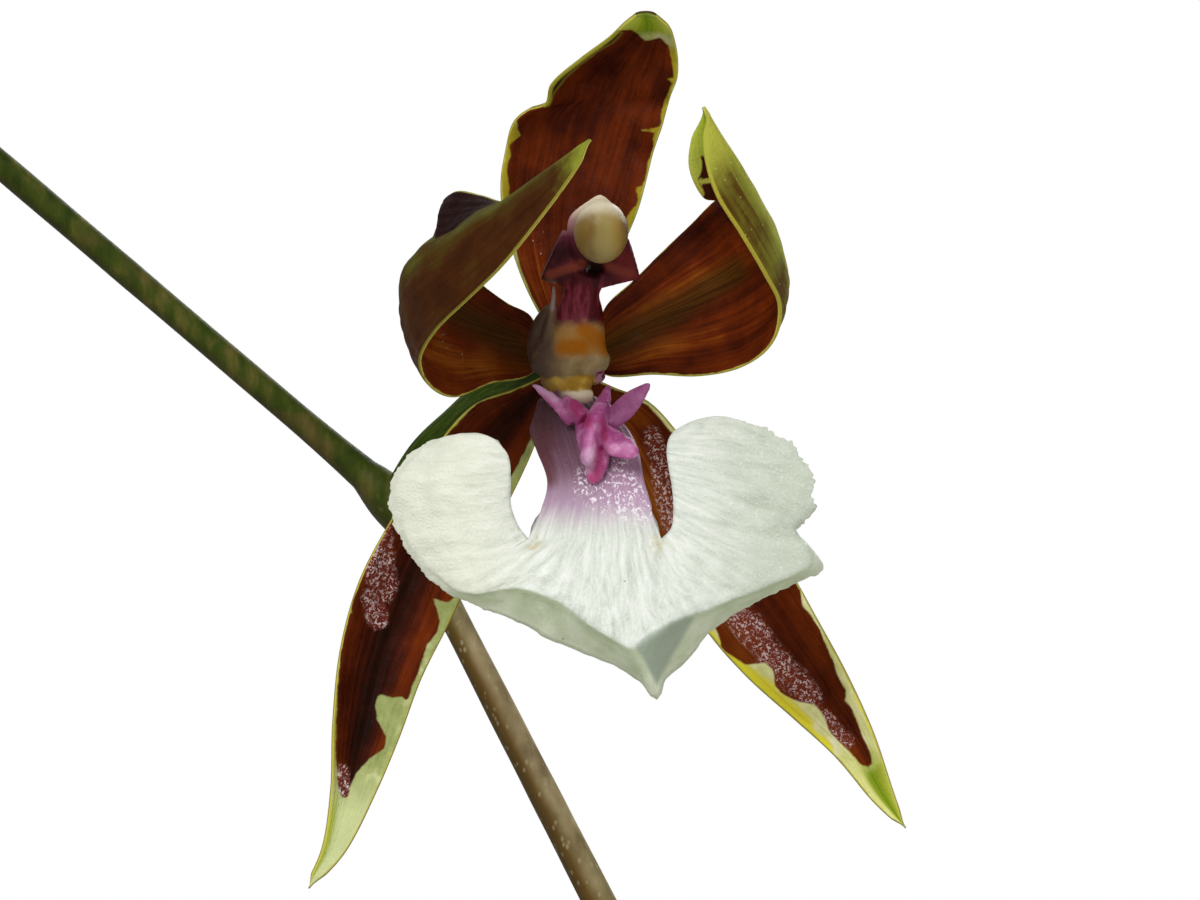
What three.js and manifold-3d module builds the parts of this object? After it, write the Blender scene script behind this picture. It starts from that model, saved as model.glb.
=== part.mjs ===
// A potted orchid, oncidium cariniferum: a clay pot of bark, three pseudobulbs with strap leaves, and one
// zigzag flower spike with three open flowers and the buds above them.
//
// Millimetres, +Z up. The origin is the middle of the pot's flat foot. The flowers look along -Y.
// A flower has a frame of its own, with its heart at the origin: x to its right, y up, z towards whoever looks
// at it. Its petals, sepals and lip are written in that frame.
import * as THREE from "three";
import { mergeVertices } from "three/addons/utils/BufferGeometryUtils.js";
import Module from "manifold-3d";

const GAP = 0.3; // clearance between pieces that touch
const WELD = 1e-4; // corners nearer than this are one
const DEGREE = Math.PI / 180;

// The pot
const POT_HEIGHT = 92;
const POT_FOOT_RADIUS = 37;
const POT_NECK_RADIUS = 46; // just under the collar
const POT_RIM_RADIUS = 52;
const COLLAR_HEIGHT = 17;
const POT_WALL = 4.5;
const POT_FLOOR = 6;
const POT_FACETS = 32;
const DRAIN = { holes: 5, radius: 3.5, circle: 23 };

// The bark that fills it
const BARK_TOP = 79;
const BARK_FACETS = 28;
const CHIPS = 24;
const ROW_HALF_DEPTH = 13; // no tall chip stands nearer to the row of pseudobulbs

// The plant's body: the pseudobulbs stand in a row on the creeping stem, oldest first
const RHIZOME = { radius: 3, line: [[-38, 0, 76], [-19, 0.8, 77], [0, 0, 77], [17, -0.8, 77], [33, 0, 77]] };
const ROOT_RADIUS = 1.2;
const ROOTS = [
  [[-30, 0, 76], [-31, -9, 80.5], [-33, -18, 82], [-30, -27, 80], [-27, -33, 70]],
  [[-8, 0, 76], [-9, 10, 80.5], [-14, 20, 82.5], [-22, 27, 80], [-27, 30, 69]],
  [[8, 0, 76], [9, -10, 80.8], [4, -20, 83], [-4, -29, 80.5], [-7, -33, 70]],
  [[28, 0, 76], [33, 9, 80.5], [34, 18, 82.5], [28, 27, 80], [23, 32, 69]],
];
const BULB_FOOT = 80.4;
const BULBS = [
  { x: -29, height: 50, width: 19, depth: 10.5 },
  { x: -4, height: 58, width: 23, depth: 12 },
  { x: 24, height: 64, width: 25, depth: 13 },
];
const BULB_OUTLINE = [0.64, 0.88, 0.99, 0.98, 0.89, 0.73, 0.52, 0.3]; // breadth from foot to top, widest 1
const SHEATH_THICKNESS = 0.6;
const LEAF_THICKNESS = 0.8;
const LEAF_SPREAD = 2.6; // how far a leaf's foot stands from the middle of its bulb's top
const LEAF_RAISE = 0.7; // how far the middle of its foot stands over what carries it

// Leaves: which bulb each tops, its heading from +X, length, width, rise at the foot and total bend
const LEAVES = [
  { bulb: 0, heading: 248, length: 150, width: 22, rise: 70, bend: 88 },
  { bulb: 0, heading: 146, length: 140, width: 20, rise: 76, bend: 84 },
  { bulb: 1, heading: 268, length: 168, width: 26, rise: 74, bend: 104 },
  { bulb: 1, heading: 126, length: 178, width: 26, rise: 76, bend: 88 },
  { bulb: 2, heading: 114, length: 186, width: 26, rise: 78, bend: 96 },
  { bulb: 2, heading: -6, length: 190, width: 29, rise: 72, bend: 86 },
];
const SHEATH_LEAVES = [
  { x: 39, y: -1, heading: -32, length: 118, width: 19, rise: 66, bend: 70 },
  { x: 22, y: 9.5, heading: 84, length: 104, width: 18, rise: 70, bend: 78 },
];

// The flower spike: its nodes from the soil up, where the stem bends, and how thick the stem is there
const SPIKE_Y = -20;
const SPIKE = [
  { at: [27, -11, 66], radius: 2.3 },
  { at: [28.5, -13, 88], radius: 2.3, bract: 17 },
  { at: [29.6, -16, 131.5], radius: 1.9, bract: 14 },
  { at: [27.1, -18, 179.5], radius: 1.6, bract: 12 },
  { at: [17.8, -19, 223.5], radius: 1.3, bract: 9 },
  { at: [5.3, SPIKE_Y, 261.8], radius: 1.0, bract: 6 },
  { at: [-10.2, SPIKE_Y, 292.1], radius: 0.8 },
  { at: [-39.1, SPIKE_Y, 316.7], radius: 0.8, bract: 4 },
  { at: [-55.1, SPIKE_Y, 344.4], radius: 0.75, bract: 3.5 },
  { at: [-77.2, SPIKE_Y, 361.6], radius: 0.65, bract: 3 },
  { at: [-89.9, SPIKE_Y, 382], radius: 0.6, bract: 3 },
  { at: [-104.6, SPIKE_Y, 392.3], radius: 0.5, bract: 2.5 },
  { at: [-110, SPIKE_Y, 401.5], radius: 0.4 },
];
const PEDICEL_LINE = [
  [-8.6, -5.3, -13.5], [-6.5, -3.3, -10.5], [-4.6, -1.9, -7.4], [-2.0, -0.8, -4.4], [-0.2, -0.1, -2.3],
  [0, 0, -1.25],
];
const OVARY_RADIUS = 1.15;
const BRACT_THICKNESS = 0.6;
const FULL_BRACT = 5; // a bract longer than this is faceted more finely
const NODE_SWELLING = 0.3; // added to the radius at a node
const NODE_REACH = 2.2; // half length of the swelling and of the bend

// The open flowers: spike node, heart, turn about the vertical, nod, and mirrored or not
const FIRST_FLOWER = { node: 6, heart: [0, -35, 300], turn: 0, nod: 0, hand: 1 };
const LATER_FLOWERS = [
  { name: "bloom_2", node: 7, heart: [-54, -36, 323], turn: -28, nod: 4, hand: -1 },
  { name: "bloom_3", node: 8, heart: [-44, -37, 361], turn: 14, nod: -6, hand: 1 },
];
const BUDS = [
  { node: 9, offset: [-8, -7, 9], length: 8.4, width: 4.6 },
  { node: 10, offset: [7, -5, 9], length: 7.2, width: 4 },
  { node: 11, offset: [-7, -3, 6], length: 5.6, width: 3.1 },
  { node: 12, offset: [-2, -1, 5], length: 4.2, width: 2.3 },
];

// The flower, as its owner would measure it: rows from foot to tip, each a margin, the midrib and the other
// margin
const TEPAL_THICKNESS = 0.6;
const DORSAL_SEPAL = [
  [[-0.6, 1.4, -0.35], [0.0, 1.4, -0.35], [0.6, 1.4, -0.35]],
  [[-1.4, 2.6, -0.5], [-0.1, 2.9, -1.1], [1.2, 2.7, -0.6]],
  [[-2.6, 5.1, -0.8], [-0.2, 5.5, -2.0], [2.6, 5.4, -1.0]],
  [[-3.6, 8.7, -0.8], [0.0, 9.0, -2.4], [4.0, 8.5, -1.0]],
  [[-3.5, 12.0, -0.8], [0.8, 12.2, -2.6], [5.1, 12.0, -1.2]],
  [[-2.5, 14.4, -0.6], [1.6, 14.8, -2.4], [5.9, 14.7, -1.0]],
  [[-0.8, 16.0, -0.2], [2.5, 16.6, -1.8], [6.3, 16.2, -0.6]],
  [[1.4, 17.6, 0.8], [3.9, 18.2, -0.4], [6.2, 17.9, 0.4]],
  [[3.9, 19.4, 2.0], [4.7, 19.4, 1.5], [5.5, 19.4, 1.9]],
];
const PETAL_RIGHT = [
  [[1.35, 0.9, -0.35], [1.45, 0.35, -0.35], [1.3, -0.2, -0.35]],
  [[2.3, 3.2, 0.2], [2.7, 1.0, 0.1], [2.5, -0.8, 0.5]],
  [[3.8, 4.6, 0.2], [4.8, 2.0, 0.4], [4.9, -0.7, 2.0]],
  [[5.4, 6.2, 0.6], [7.2, 2.9, 1.4], [7.5, -0.8, 3.6]],
  [[7.1, 7.8, 1.6], [9.6, 3.9, 2.8], [9.9, -0.3, 5.6]],
  [[8.2, 8.9, 3.2], [11.4, 4.9, 5.0], [11.7, 1.0, 8.0]],
  [[8.9, 9.4, 5.4], [12.4, 5.5, 7.8], [12.2, 3.0, 10.2]],
  [[9.1, 9.4, 8.2], [12.0, 7.1, 10.8], [11.3, 4.8, 12.8]],
  [[8.5, 9.2, 10.8], [11.0, 8.7, 13.0], [9.9, 6.9, 14.8]],
  [[7.6, 9.4, 12.8], [9.8, 10.5, 14.8], [8.4, 9.1, 16.2]],
  [[7.0, 11.1, 14.0], [8.7, 12.2, 15.6], [7.8, 11.1, 16.6]],
  [[7.2, 13.4, 15.4], [7.6, 13.7, 15.8], [7.5, 13.2, 16.1]],
];
const PETAL_LEFT = [
  [[-1.35, 0.9, -0.35], [-1.45, 0.35, -0.35], [-1.3, -0.2, -0.35]],
  [[-2.0, 2.6, 0.2], [-2.4, 0.8, 0.1], [-2.4, -0.9, 0.5]],
  [[-3.4, 3.4, 0.2], [-4.2, 1.2, 0.6], [-4.2, -1.2, 2.0]],
  [[-5.2, 4.8, 0.8], [-6.5, 2.0, 1.6], [-6.2, -2.0, 3.8]],
  [[-6.6, 6.6, 1.8], [-8.4, 3.0, 3.4], [-7.6, -1.4, 6.4]],
  [[-7.0, 8.5, 3.6], [-9.2, 4.1, 6.0], [-8.1, 0.0, 8.8]],
  [[-6.2, 9.5, 6.0], [-8.5, 5.4, 8.6], [-7.2, 1.6, 11.2]],
  [[-4.6, 9.2, 8.6], [-6.6, 6.5, 11.0], [-5.4, 3.3, 13.2]],
  [[-2.9, 8.7, 11.2], [-4.1, 8.0, 12.8], [-3.5, 5.1, 14.8]],
  [[-1.5, 9.4, 13.0], [-1.7, 9.7, 14.0], [-1.6, 7.4, 15.8]],
  [[0.0, 10.7, 14.7], [0.1, 11.0, 15.2], [0.2, 9.8, 16.3]],
  [[1.2, 12.0, 16.0], [1.4, 12.1, 16.2], [1.4, 11.7, 16.4]],
];
const LATERAL_SEPAL_LEFT = [
  [[-1.25, -0.8, -0.35], [-0.9, -1.15, -0.35], [-0.5, -1.35, -0.35]],
  [[-2.8, -1.5, -0.9], [-1.9, -2.0, -1.3], [-1.2, -2.8, -0.8]],
  [[-5.3, -2.5, -1.4], [-3.7, -3.8, -2.4], [-1.9, -4.9, -1.4]],
  [[-7.6, -5.1, -2.2], [-5.8, -6.6, -3.4], [-3.3, -7.9, -2.0]],
  [[-9.8, -8.7, -2.6], [-7.8, -10.1, -4.0], [-5.2, -11.4, -2.4]],
  [[-11.8, -12.5, -2.6], [-9.4, -13.9, -4.0], [-6.7, -14.8, -2.4]],
  [[-12.9, -16.4, -2.2], [-10.7, -17.5, -3.6], [-8.3, -18.0, -2.2]],
  [[-13.3, -20.6, -1.4], [-11.6, -21.2, -2.6], [-9.6, -21.5, -1.4]],
  [[-13.4, -24.4, -0.6], [-12.4, -24.7, -1.4], [-10.9, -24.6, -0.6]],
  [[-13.9, -27.8, 0.6], [-13.3, -27.8, 0.2], [-12.6, -27.9, 0.6]],
  [[-14.8, -29.8, 1.4], [-14.6, -29.9, 1.4], [-14.3, -29.8, 1.4]],
];
const LATERAL_SEPAL_RIGHT = [
  [[0.5, -1.35, -0.35], [0.9, -1.15, -0.35], [1.25, -0.8, -0.35]],
  [[1.4, -2.7, -0.8], [2.1, -2.2, -1.3], [2.8, -1.5, -0.9]],
  [[2.6, -4.8, -1.4], [3.8, -4.0, -2.4], [4.7, -2.3, -1.2]],
  [[4.2, -8.3, -2.0], [5.6, -7.0, -3.4], [7.1, -5.0, -2.0]],
  [[6.2, -11.9, -2.4], [8.0, -10.6, -3.8], [9.8, -8.5, -2.2]],
  [[8.0, -15.2, -2.4], [10.3, -14.1, -3.8], [12.4, -11.4, -2.2]],
  [[10.3, -17.9, -2.0], [12.6, -16.8, -3.4], [14.5, -15.0, -2.0]],
  [[13.0, -20.3, -1.4], [14.8, -19.6, -2.6], [16.2, -18.2, -1.4]],
  [[15.4, -22.5, -0.6], [16.6, -21.9, -1.6], [17.5, -21.1, -0.8]],
  [[17.5, -25.0, 0.4], [18.0, -24.6, 0.0], [18.5, -24.1, 0.2]],
  [[19.1, -26.5, 1.0], [19.3, -26.5, 1.0], [19.2, -26.2, 1.0]],
];

// The lip: a claw that runs forward and down, then a blade shaped like an anchor. The claw joins the middle
// columns of the blade; the others begin at the inner edges of its two lobes. Each column crosses to a crease,
// past which a margin turns back
const LIP_THICKNESS = 0.6;
const CLAW_LEFT = [
  [-1.5, -2.2, 0.8], [-1.9, -3.9, 2.8], [-1.5, -5.3, 4.6], [-1.0, -7.2, 6.2], [-2.1, -10.1, 8.1],
];
const CLAW_RIGHT = [
  [1.8, -2.1, 0.8], [3.4, -3.8, 3.2], [4.0, -5.3, 4.8], [4.4, -7.2, 6.5], [5.4, -10.1, 8.3],
];
const CLAW_SWELL = 0.6; // how far the middle of the claw stands out
const LEFT_LOBE_EDGE = [
  [-3.8, -4.5, 8.2], [-3.2, -5.4, 8.3], [-3.1, -6.7, 8.3], [-3.1, -8.1, 8.2], [-2.7, -9.3, 8.1],
  [-2.1, -10.1, 8.1],
];
const RIGHT_LOBE_EDGE = [
  [5.4, -10.1, 8.3], [6.0, -9.4, 8.2], [6.1, -8.3, 8.1], [6.0, -7.1, 7.9], [5.8, -6.0, 7.7], [5.7, -5.1, 7.5],
  [5.8, -4.5, 7.3], [6.2, -3.9, 7.1],
];
const BLADE = [ // the middle, crease and margin of each column, from the left lobe's top to the right one's
  [[-5.1, -4.1, 7.6], [-6.7, -4.3, 6.8], [-7.1, -4.4, 6.4]],
  [[-5.9, -5.4, 8.1], [-8.4, -5.6, 6.9], [-8.8, -5.5, 6.3]],
  [[-6.2, -6.9, 8.3], [-9.3, -7.0, 6.8], [-9.7, -7.0, 6.2]],
  [[-6.2, -8.4, 8.4], [-9.2, -8.6, 6.9], [-9.7, -8.7, 6.3]],
  [[-5.5, -10.0, 8.6], [-8.5, -10.2, 7.3], [-8.9, -10.4, 6.7]],
  [[-4.7, -11.3, 8.9], [-7.4, -11.7, 8.0], [-7.8, -11.9, 7.2]],
  [[-3.2, -11.7, 9.3], [-5.5, -12.9, 8.8], [-5.8, -13.3, 7.9]],
  [[-1.2, -11.7, 9.6], [-2.5, -12.7, 9.7], [-3.1, -14.3, 8.1]],
  [[0.5, -12.1, 9.9], [0.0, -13.6, 10.2], [-0.3, -15.8, 8.2]],
  [[2.0, -12.8, 10.2], [1.9, -15.0, 10.8], [2.5, -17.5, 8.6]],
  [[3.5, -13.2, 10.4], [3.9, -15.9, 11.3], [5.1, -18.9, 9.6]],
  [[5.0, -12.7, 10.1], [6.0, -14.6, 10.6], [6.2, -17.2, 8.8]],
  [[6.9, -11.9, 9.6], [8.7, -13.5, 9.9], [8.3, -14.9, 8.4]],
  [[8.4, -10.9, 9.2], [11.3, -12.5, 9.3], [11.1, -13.1, 8.4]],
  [[9.7, -10.1, 8.9], [13.6, -11.3, 8.8], [14.1, -11.6, 8.0]],
  [[9.7, -8.5, 8.6], [12.8, -9.6, 8.5], [13.1, -9.8, 8.0]],
  [[9.6, -7.0, 8.4], [13.2, -8.0, 8.9], [13.9, -8.0, 8.8]],
  [[9.5, -5.6, 8.2], [13.1, -6.1, 8.7], [13.6, -6.0, 8.6]],
  [[8.8, -4.3, 7.8], [11.8, -4.7, 8.3], [12.1, -4.3, 8.2]],
  [[7.8, -3.2, 7.3], [9.2, -3.2, 7.7], [9.7, -3.3, 7.8]],
];
const CLAW_COLUMNS = [5, 12]; // the first and the last column of the blade that the claw joins
const CLAW_ROWS = 4;
const BLADE_ROWS = 4;

// The crest on the claw: each ridge's line, half widths and half heights from end to end
const CREST = [
  {
    line: [[2.2, -2.2, 3.4], [2.0, -3.0, 4.6], [1.7, -4.4, 6.2], [1.4, -5.7, 7.8]],
    wide: [0.4, 0.55, 0.6, 0.4],
    tall: [0.7, 1.2, 1.4, 0.8],
  },
  {
    line: [[0.7, -3.7, 3.8], [-0.5, -2.4, 3.6], [-1.5, -1.6, 3.7]],
    wide: [0.5, 0.6, 0.25],
    tall: [0.7, 0.7, 0.3],
  },
  {
    line: [[2.4, -3.4, 4.2], [3.5, -2.4, 4.6], [4.8, -1.5, 5.0]],
    wide: [0.6, 0.9, 0.35],
    tall: [0.7, 0.8, 0.35],
  },
  {
    line: [[2.1, -3.3, 4.2], [2.7, -4.5, 5.8], [3.8, -5.7, 7.0]],
    wide: [0.4, 0.5, 0.3],
    tall: [0.8, 1.0, 0.5],
  },
  {
    line: [[0.9, -3.0, 2.9], [1.3, -4.3, 4.4], [1.7, -6.0, 6.3]],
    wide: [0.9, 1.2, 0.7],
    tall: [0.7, 0.9, 0.5],
  },
];

// The column: its line, half width and half depth, then the cap at its end
const COLUMN_LINE = [
  [0.0, 0.1, 0.35], [0.1, 0.2, 1.5], [0.3, 0.7, 2.7], [0.6, 1.6, 3.8], [0.8, 2.6, 4.7], [0.9, 3.8, 5.5],
  [1.3, 5.1, 6.2],
];
const COLUMN_WIDE = [1.1, 1.6, 1.9, 1.6, 1.3, 1.0, 1.1];
const COLUMN_DEEP = [1.1, 1.4, 1.4, 1.2, 1.0, 0.9, 0.9];
const COLUMN_WINGS = [
  [
    [[0.7, 3.9, 5.9], [1.1, 5.0, 6.4], [1.3, 6.0, 6.6]],
    [[-0.4, 4.3, 6.2], [-0.2, 5.6, 6.6], [0.3, 6.8, 6.8]],
    [[-0.9, 4.7, 6.4], [-0.8, 5.5, 6.8], [0.0, 7.0, 7.0]],
  ],
  [
    [[1.2, 3.9, 5.9], [1.4, 5.0, 6.4], [1.5, 6.0, 6.6]],
    [[2.8, 4.5, 6.2], [2.9, 5.6, 6.6], [3.0, 6.9, 6.8]],
    [[3.8, 4.8, 6.4], [3.9, 5.4, 6.8], [3.5, 6.9, 7.0]],
  ],
];
const CAP = { at: [2.05, 7.5, 8.65], wide: 1.55, tall: 1.8, deep: 1.5 };

// How finely the first flower and the later ones are faceted
const FINE = {
  along: 12,
  across: 6,
  lipSplit: 2,
  ridges: 5,
  crestRings: 4,
  crestSides: 6,
  sides: 10,
  wing: 4,
};
const PLAIN = {
  along: 6,
  across: 4,
  lipSplit: 1,
  ridges: 3,
  crestRings: 3,
  crestSides: 5,
  sides: 7,
  wing: 2,
};

const COLOURS = {
  clay: [0xb5653f, 0.85],
  bark: [0x5b3a26, 0.9],
  root: [0xb9b3a0, 0.8],
  bulb: [0x6d8a3c, 0.5],
  husk: [0xa08a62, 0.85],
  leaf: [0x3f6b2a, 0.45],
  stem: [0x66673c, 0.5],
  tepal: [0x6a2413, 0.4],
  lip: [0xf1f2e6, 0.5],
  crest: [0xb64aa0, 0.45],
  column: [0x9a4a78, 0.45],
  cap: [0xe6d79a, 0.4],
  bud: [0x7c7a2e, 0.5],
};

const wasm = await Module();
wasm.setup();

/** A small seeded source of random numbers between 0 and 1, so the bark lies the same way every time. */
function seeded(seed) {
  let state = seed;
  return () => {
    state = (state * 1664525 + 1013904223) % 4294967296;
    return state / 4294967296;
  };
}

const vector = (point) => new THREE.Vector3(...point);
const spline = (points) => new THREE.CatmullRomCurve3(points.map(vector));
const smooth = (from, to, value) => THREE.MathUtils.smoothstep(value, from, to);

/** The value at share s of a short list, read off a straight line between its entries. */
function along(values, s) {
  const place = s * (values.length - 1);
  const first = Math.min(Math.floor(place), values.length - 2);
  return THREE.MathUtils.lerp(values[first], values[first + 1], place - first);
}

function closedGeometry(positions, triangles) {
  const geometry = new THREE.BufferGeometry();
  geometry.setAttribute("position", new THREE.Float32BufferAttribute(positions, 3));
  geometry.setIndex(triangles);
  return geometry;
}

/** The solid inside a closed geometry. */
function solid(geometry) {
  const bare = geometry.clone();
  bare.deleteAttribute("normal");
  bare.deleteAttribute("uv");
  const welded = mergeVertices(bare, WELD);
  const mesh = new wasm.Mesh({
    numProp: 3,
    vertProperties: new Float32Array(welded.attributes.position.array),
    triVerts: new Uint32Array(welded.index.array),
  });
  return new wasm.Manifold(mesh);
}

/** The geometry of a solid. A cut can leave crumbs, so the largest body is the one that is kept. */
function skin(whole) {
  const [body] = whole.decompose().sort((a, b) => b.volume() - a.volume());
  const mesh = body.getMesh();
  const geometry = new THREE.BufferGeometry();
  geometry.setAttribute("position", new THREE.BufferAttribute(new Float32Array(mesh.vertProperties), 3));
  geometry.setIndex(new THREE.BufferAttribute(new Uint32Array(mesh.triVerts), 1));
  return geometry;
}

const union = (geometries) => geometries.map(solid).reduce((whole, next) => whole.add(next));

/**
 * A thin closed sheet. surface(s, t) is a point of its middle, s from 0 at the foot to 1 at the tip and t from
 * -1 to 1 across. Both faces are split into triangles alike. kept(i, j) says which cells of its grid it has.
 */
function sheet(surface, lengthwise, crosswise, thickness, kept = () => true) {
  const step = 1e-3;
  const positions = [];
  const corners = new Map();
  const corner = (face, i, j) => {
    const key = `${face} ${i} ${j}`;
    if (!corners.has(key)) {
      const s = i / lengthwise;
      const t = (2 * j) / crosswise - 1;
      const forward = surface(Math.min(s + step, 1), t).sub(surface(Math.max(s - step, 0), t));
      const sideways = surface(s, Math.min(t + step, 1)).sub(surface(s, Math.max(t - step, -1)));
      const reach = face === 0 ? thickness / 2 : -thickness / 2;
      const point = surface(s, t).addScaledVector(forward.cross(sideways).normalize(), reach);
      corners.set(key, positions.length / 3);
      positions.push(point.x, point.y, point.z);
    }
    return corners.get(key);
  };
  const has = (i, j) => i >= 0 && j >= 0 && i < lengthwise && j < crosswise && kept(i, j);
  const triangles = [];
  const split = (a, b, c, d) => triangles.push(a, b, c, a, c, d);
  for (let i = 0; i < lengthwise; i++) {
    for (let j = 0; j < crosswise; j++) {
      if (!has(i, j)) continue;
      const around = [[i, j], [i + 1, j], [i + 1, j + 1], [i, j + 1]];
      const neighbours = [[i, j - 1], [i + 1, j], [i, j + 1], [i - 1, j]];
      split(...around.map((place) => corner(0, ...place)));
      const [a, b, c, d] = around.map((place) => corner(1, ...place));
      triangles.push(a, c, b, a, d, c);
      for (const [side, here] of around.entries()) {
        if (has(...neighbours[side])) continue;
        const next = around[(side + 1) % 4];
        split(corner(0, ...next), corner(0, ...here), corner(1, ...here), corner(1, ...next));
      }
    }
  }
  return closedGeometry(positions, triangles);
}

/** A surface through rows of three points: a margin, the midrib and the other margin. */
function throughRows(rows) {
  const [first, middle, last] = [0, 1, 2].map((k) => spline(rows.map((row) => row[k])));
  return (s, t) =>
    new THREE.Vector3()
      .addScaledVector(first.getPoint(s), (t * (t - 1)) / 2)
      .addScaledVector(middle.getPoint(s), 1 - t * t)
      .addScaledVector(last.getPoint(s), (t * (t + 1)) / 2);
}

/** Closes rings of equally many points, listed ring by ring in positions, with a middle point at each end. */
function closeRings(positions, sides, foot, top) {
  const rings = positions.length / 3 / sides - 1;
  const footCentre = (rings + 1) * sides;
  positions.push(foot.x, foot.y, foot.z, top.x, top.y, top.z);
  const triangles = [];
  for (let j = 0; j < sides; j++) {
    const next = (j + 1) % sides;
    for (let i = 0; i < rings; i++) {
      const [a, b, c, d] = [i * sides + j, i * sides + next, (i + 1) * sides + next, (i + 1) * sides + j];
      triangles.push(a, b, c, a, c, d);
    }
    triangles.push(footCentre, next, j);
    triangles.push(footCentre + 1, rings * sides + j, rings * sides + next);
  }
  return closedGeometry(positions, triangles);
}

/** A closed body along a list of points, with an oval section of half sizes wide(k) and deep(k). */
function tube(points, wide, deep, sides, across = new THREE.Vector3(0, 1, 0)) {
  const positions = [];
  let normal = across;
  for (const [k, centre] of points.entries()) {
    const before = points[Math.max(k - 1, 0)];
    const after = points[Math.min(k + 1, points.length - 1)];
    const ahead = after.clone().sub(before).normalize();
    normal = normal.clone().addScaledVector(ahead, -normal.dot(ahead)).normalize();
    const side = ahead.clone().cross(normal);
    for (let j = 0; j < sides; j++) {
      const angle = (2 * Math.PI * j) / sides;
      const point = centre.clone().addScaledVector(normal, deep(k) * Math.cos(angle));
      point.addScaledVector(side, wide(k) * Math.sin(angle));
      positions.push(point.x, point.y, point.z);
    }
  }
  return closeRings(positions, sides, points[0], points.at(-1));
}

/** The same line with both its ends drawn out by extra, for the hole that a stem stands in. */
function drawnOut(points, extra) {
  const [first, second] = [vector(points[0]), vector(points[1])];
  const [last, beforeLast] = [vector(points.at(-1)), vector(points.at(-2))];
  const foot = first.clone().addScaledVector(first.clone().sub(second).normalize(), extra);
  const tip = last.clone().addScaledVector(last.clone().sub(beforeLast).normalize(), extra);
  return [foot.toArray(), ...points.slice(1, -1), tip.toArray()];
}

/** A tube along a smooth curve through a few points; wide and deep take the share s of its length. */
function shaft(points, wide, deep, rings, sides, across) {
  const line = spline(points).getSpacedPoints(rings);
  return tube(line, (k) => wide(k / rings), (k) => deep(k / rings), sides, across);
}

/** An egg from point to point: a shaft whose ends close like a ball's, fuller towards its foot by lean. */
function egg(points, wide, deep, rings, sides, lean = 0) {
  const swell = (s) => Math.sqrt(Math.max(0, 1 - (2 * s - 1) ** 2)) * (1 - lean * (s - 0.5)) + 0.04;
  return shaft(points, (s) => wide * swell(s), (s) => deep * swell(s), rings, sides);
}

function pot() {
  const outline = [
    [0, 0],
    [POT_FOOT_RADIUS - 1.5, 0],
    [POT_FOOT_RADIUS, 1.5],
    [POT_NECK_RADIUS, POT_HEIGHT - COLLAR_HEIGHT],
    [POT_RIM_RADIUS - 1.5, POT_HEIGHT - COLLAR_HEIGHT + 1],
    [POT_RIM_RADIUS - 0.5, POT_HEIGHT - COLLAR_HEIGHT + 3],
    [POT_RIM_RADIUS, POT_HEIGHT - 2],
    [POT_RIM_RADIUS - 1.5, POT_HEIGHT],
    [POT_RIM_RADIUS - POT_WALL + 1, POT_HEIGHT],
    [POT_RIM_RADIUS - POT_WALL, POT_HEIGHT - 1.5],
    [potInside(POT_FLOOR), POT_FLOOR],
    [0, POT_FLOOR],
  ];
  const wall = new THREE.LatheGeometry(outline.map(([r, z]) => new THREE.Vector2(r, z)), POT_FACETS);
  wall.rotateX(Math.PI / 2);
  let body = solid(wall);
  for (let k = 0; k < DRAIN.holes; k++) {
    const hole = new THREE.CylinderGeometry(DRAIN.radius, DRAIN.radius, 3 * POT_FLOOR, 12);
    hole.rotateX(Math.PI / 2);
    const angle = (2 * Math.PI * k) / DRAIN.holes;
    hole.translate(DRAIN.circle * Math.cos(angle), DRAIN.circle * Math.sin(angle), POT_FLOOR / 2);
    body = body.subtract(solid(hole));
  }
  return skin(body);
}

/** The pot's inner radius at a height: a straight taper from the floor to the rim. */
function potInside(height) {
  const rise = (height - POT_FLOOR) / (POT_HEIGHT - POT_FLOOR);
  return THREE.MathUtils.lerp(POT_FOOT_RADIUS - POT_WALL + 0.6, POT_RIM_RADIUS - POT_WALL, rise);
}

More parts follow.
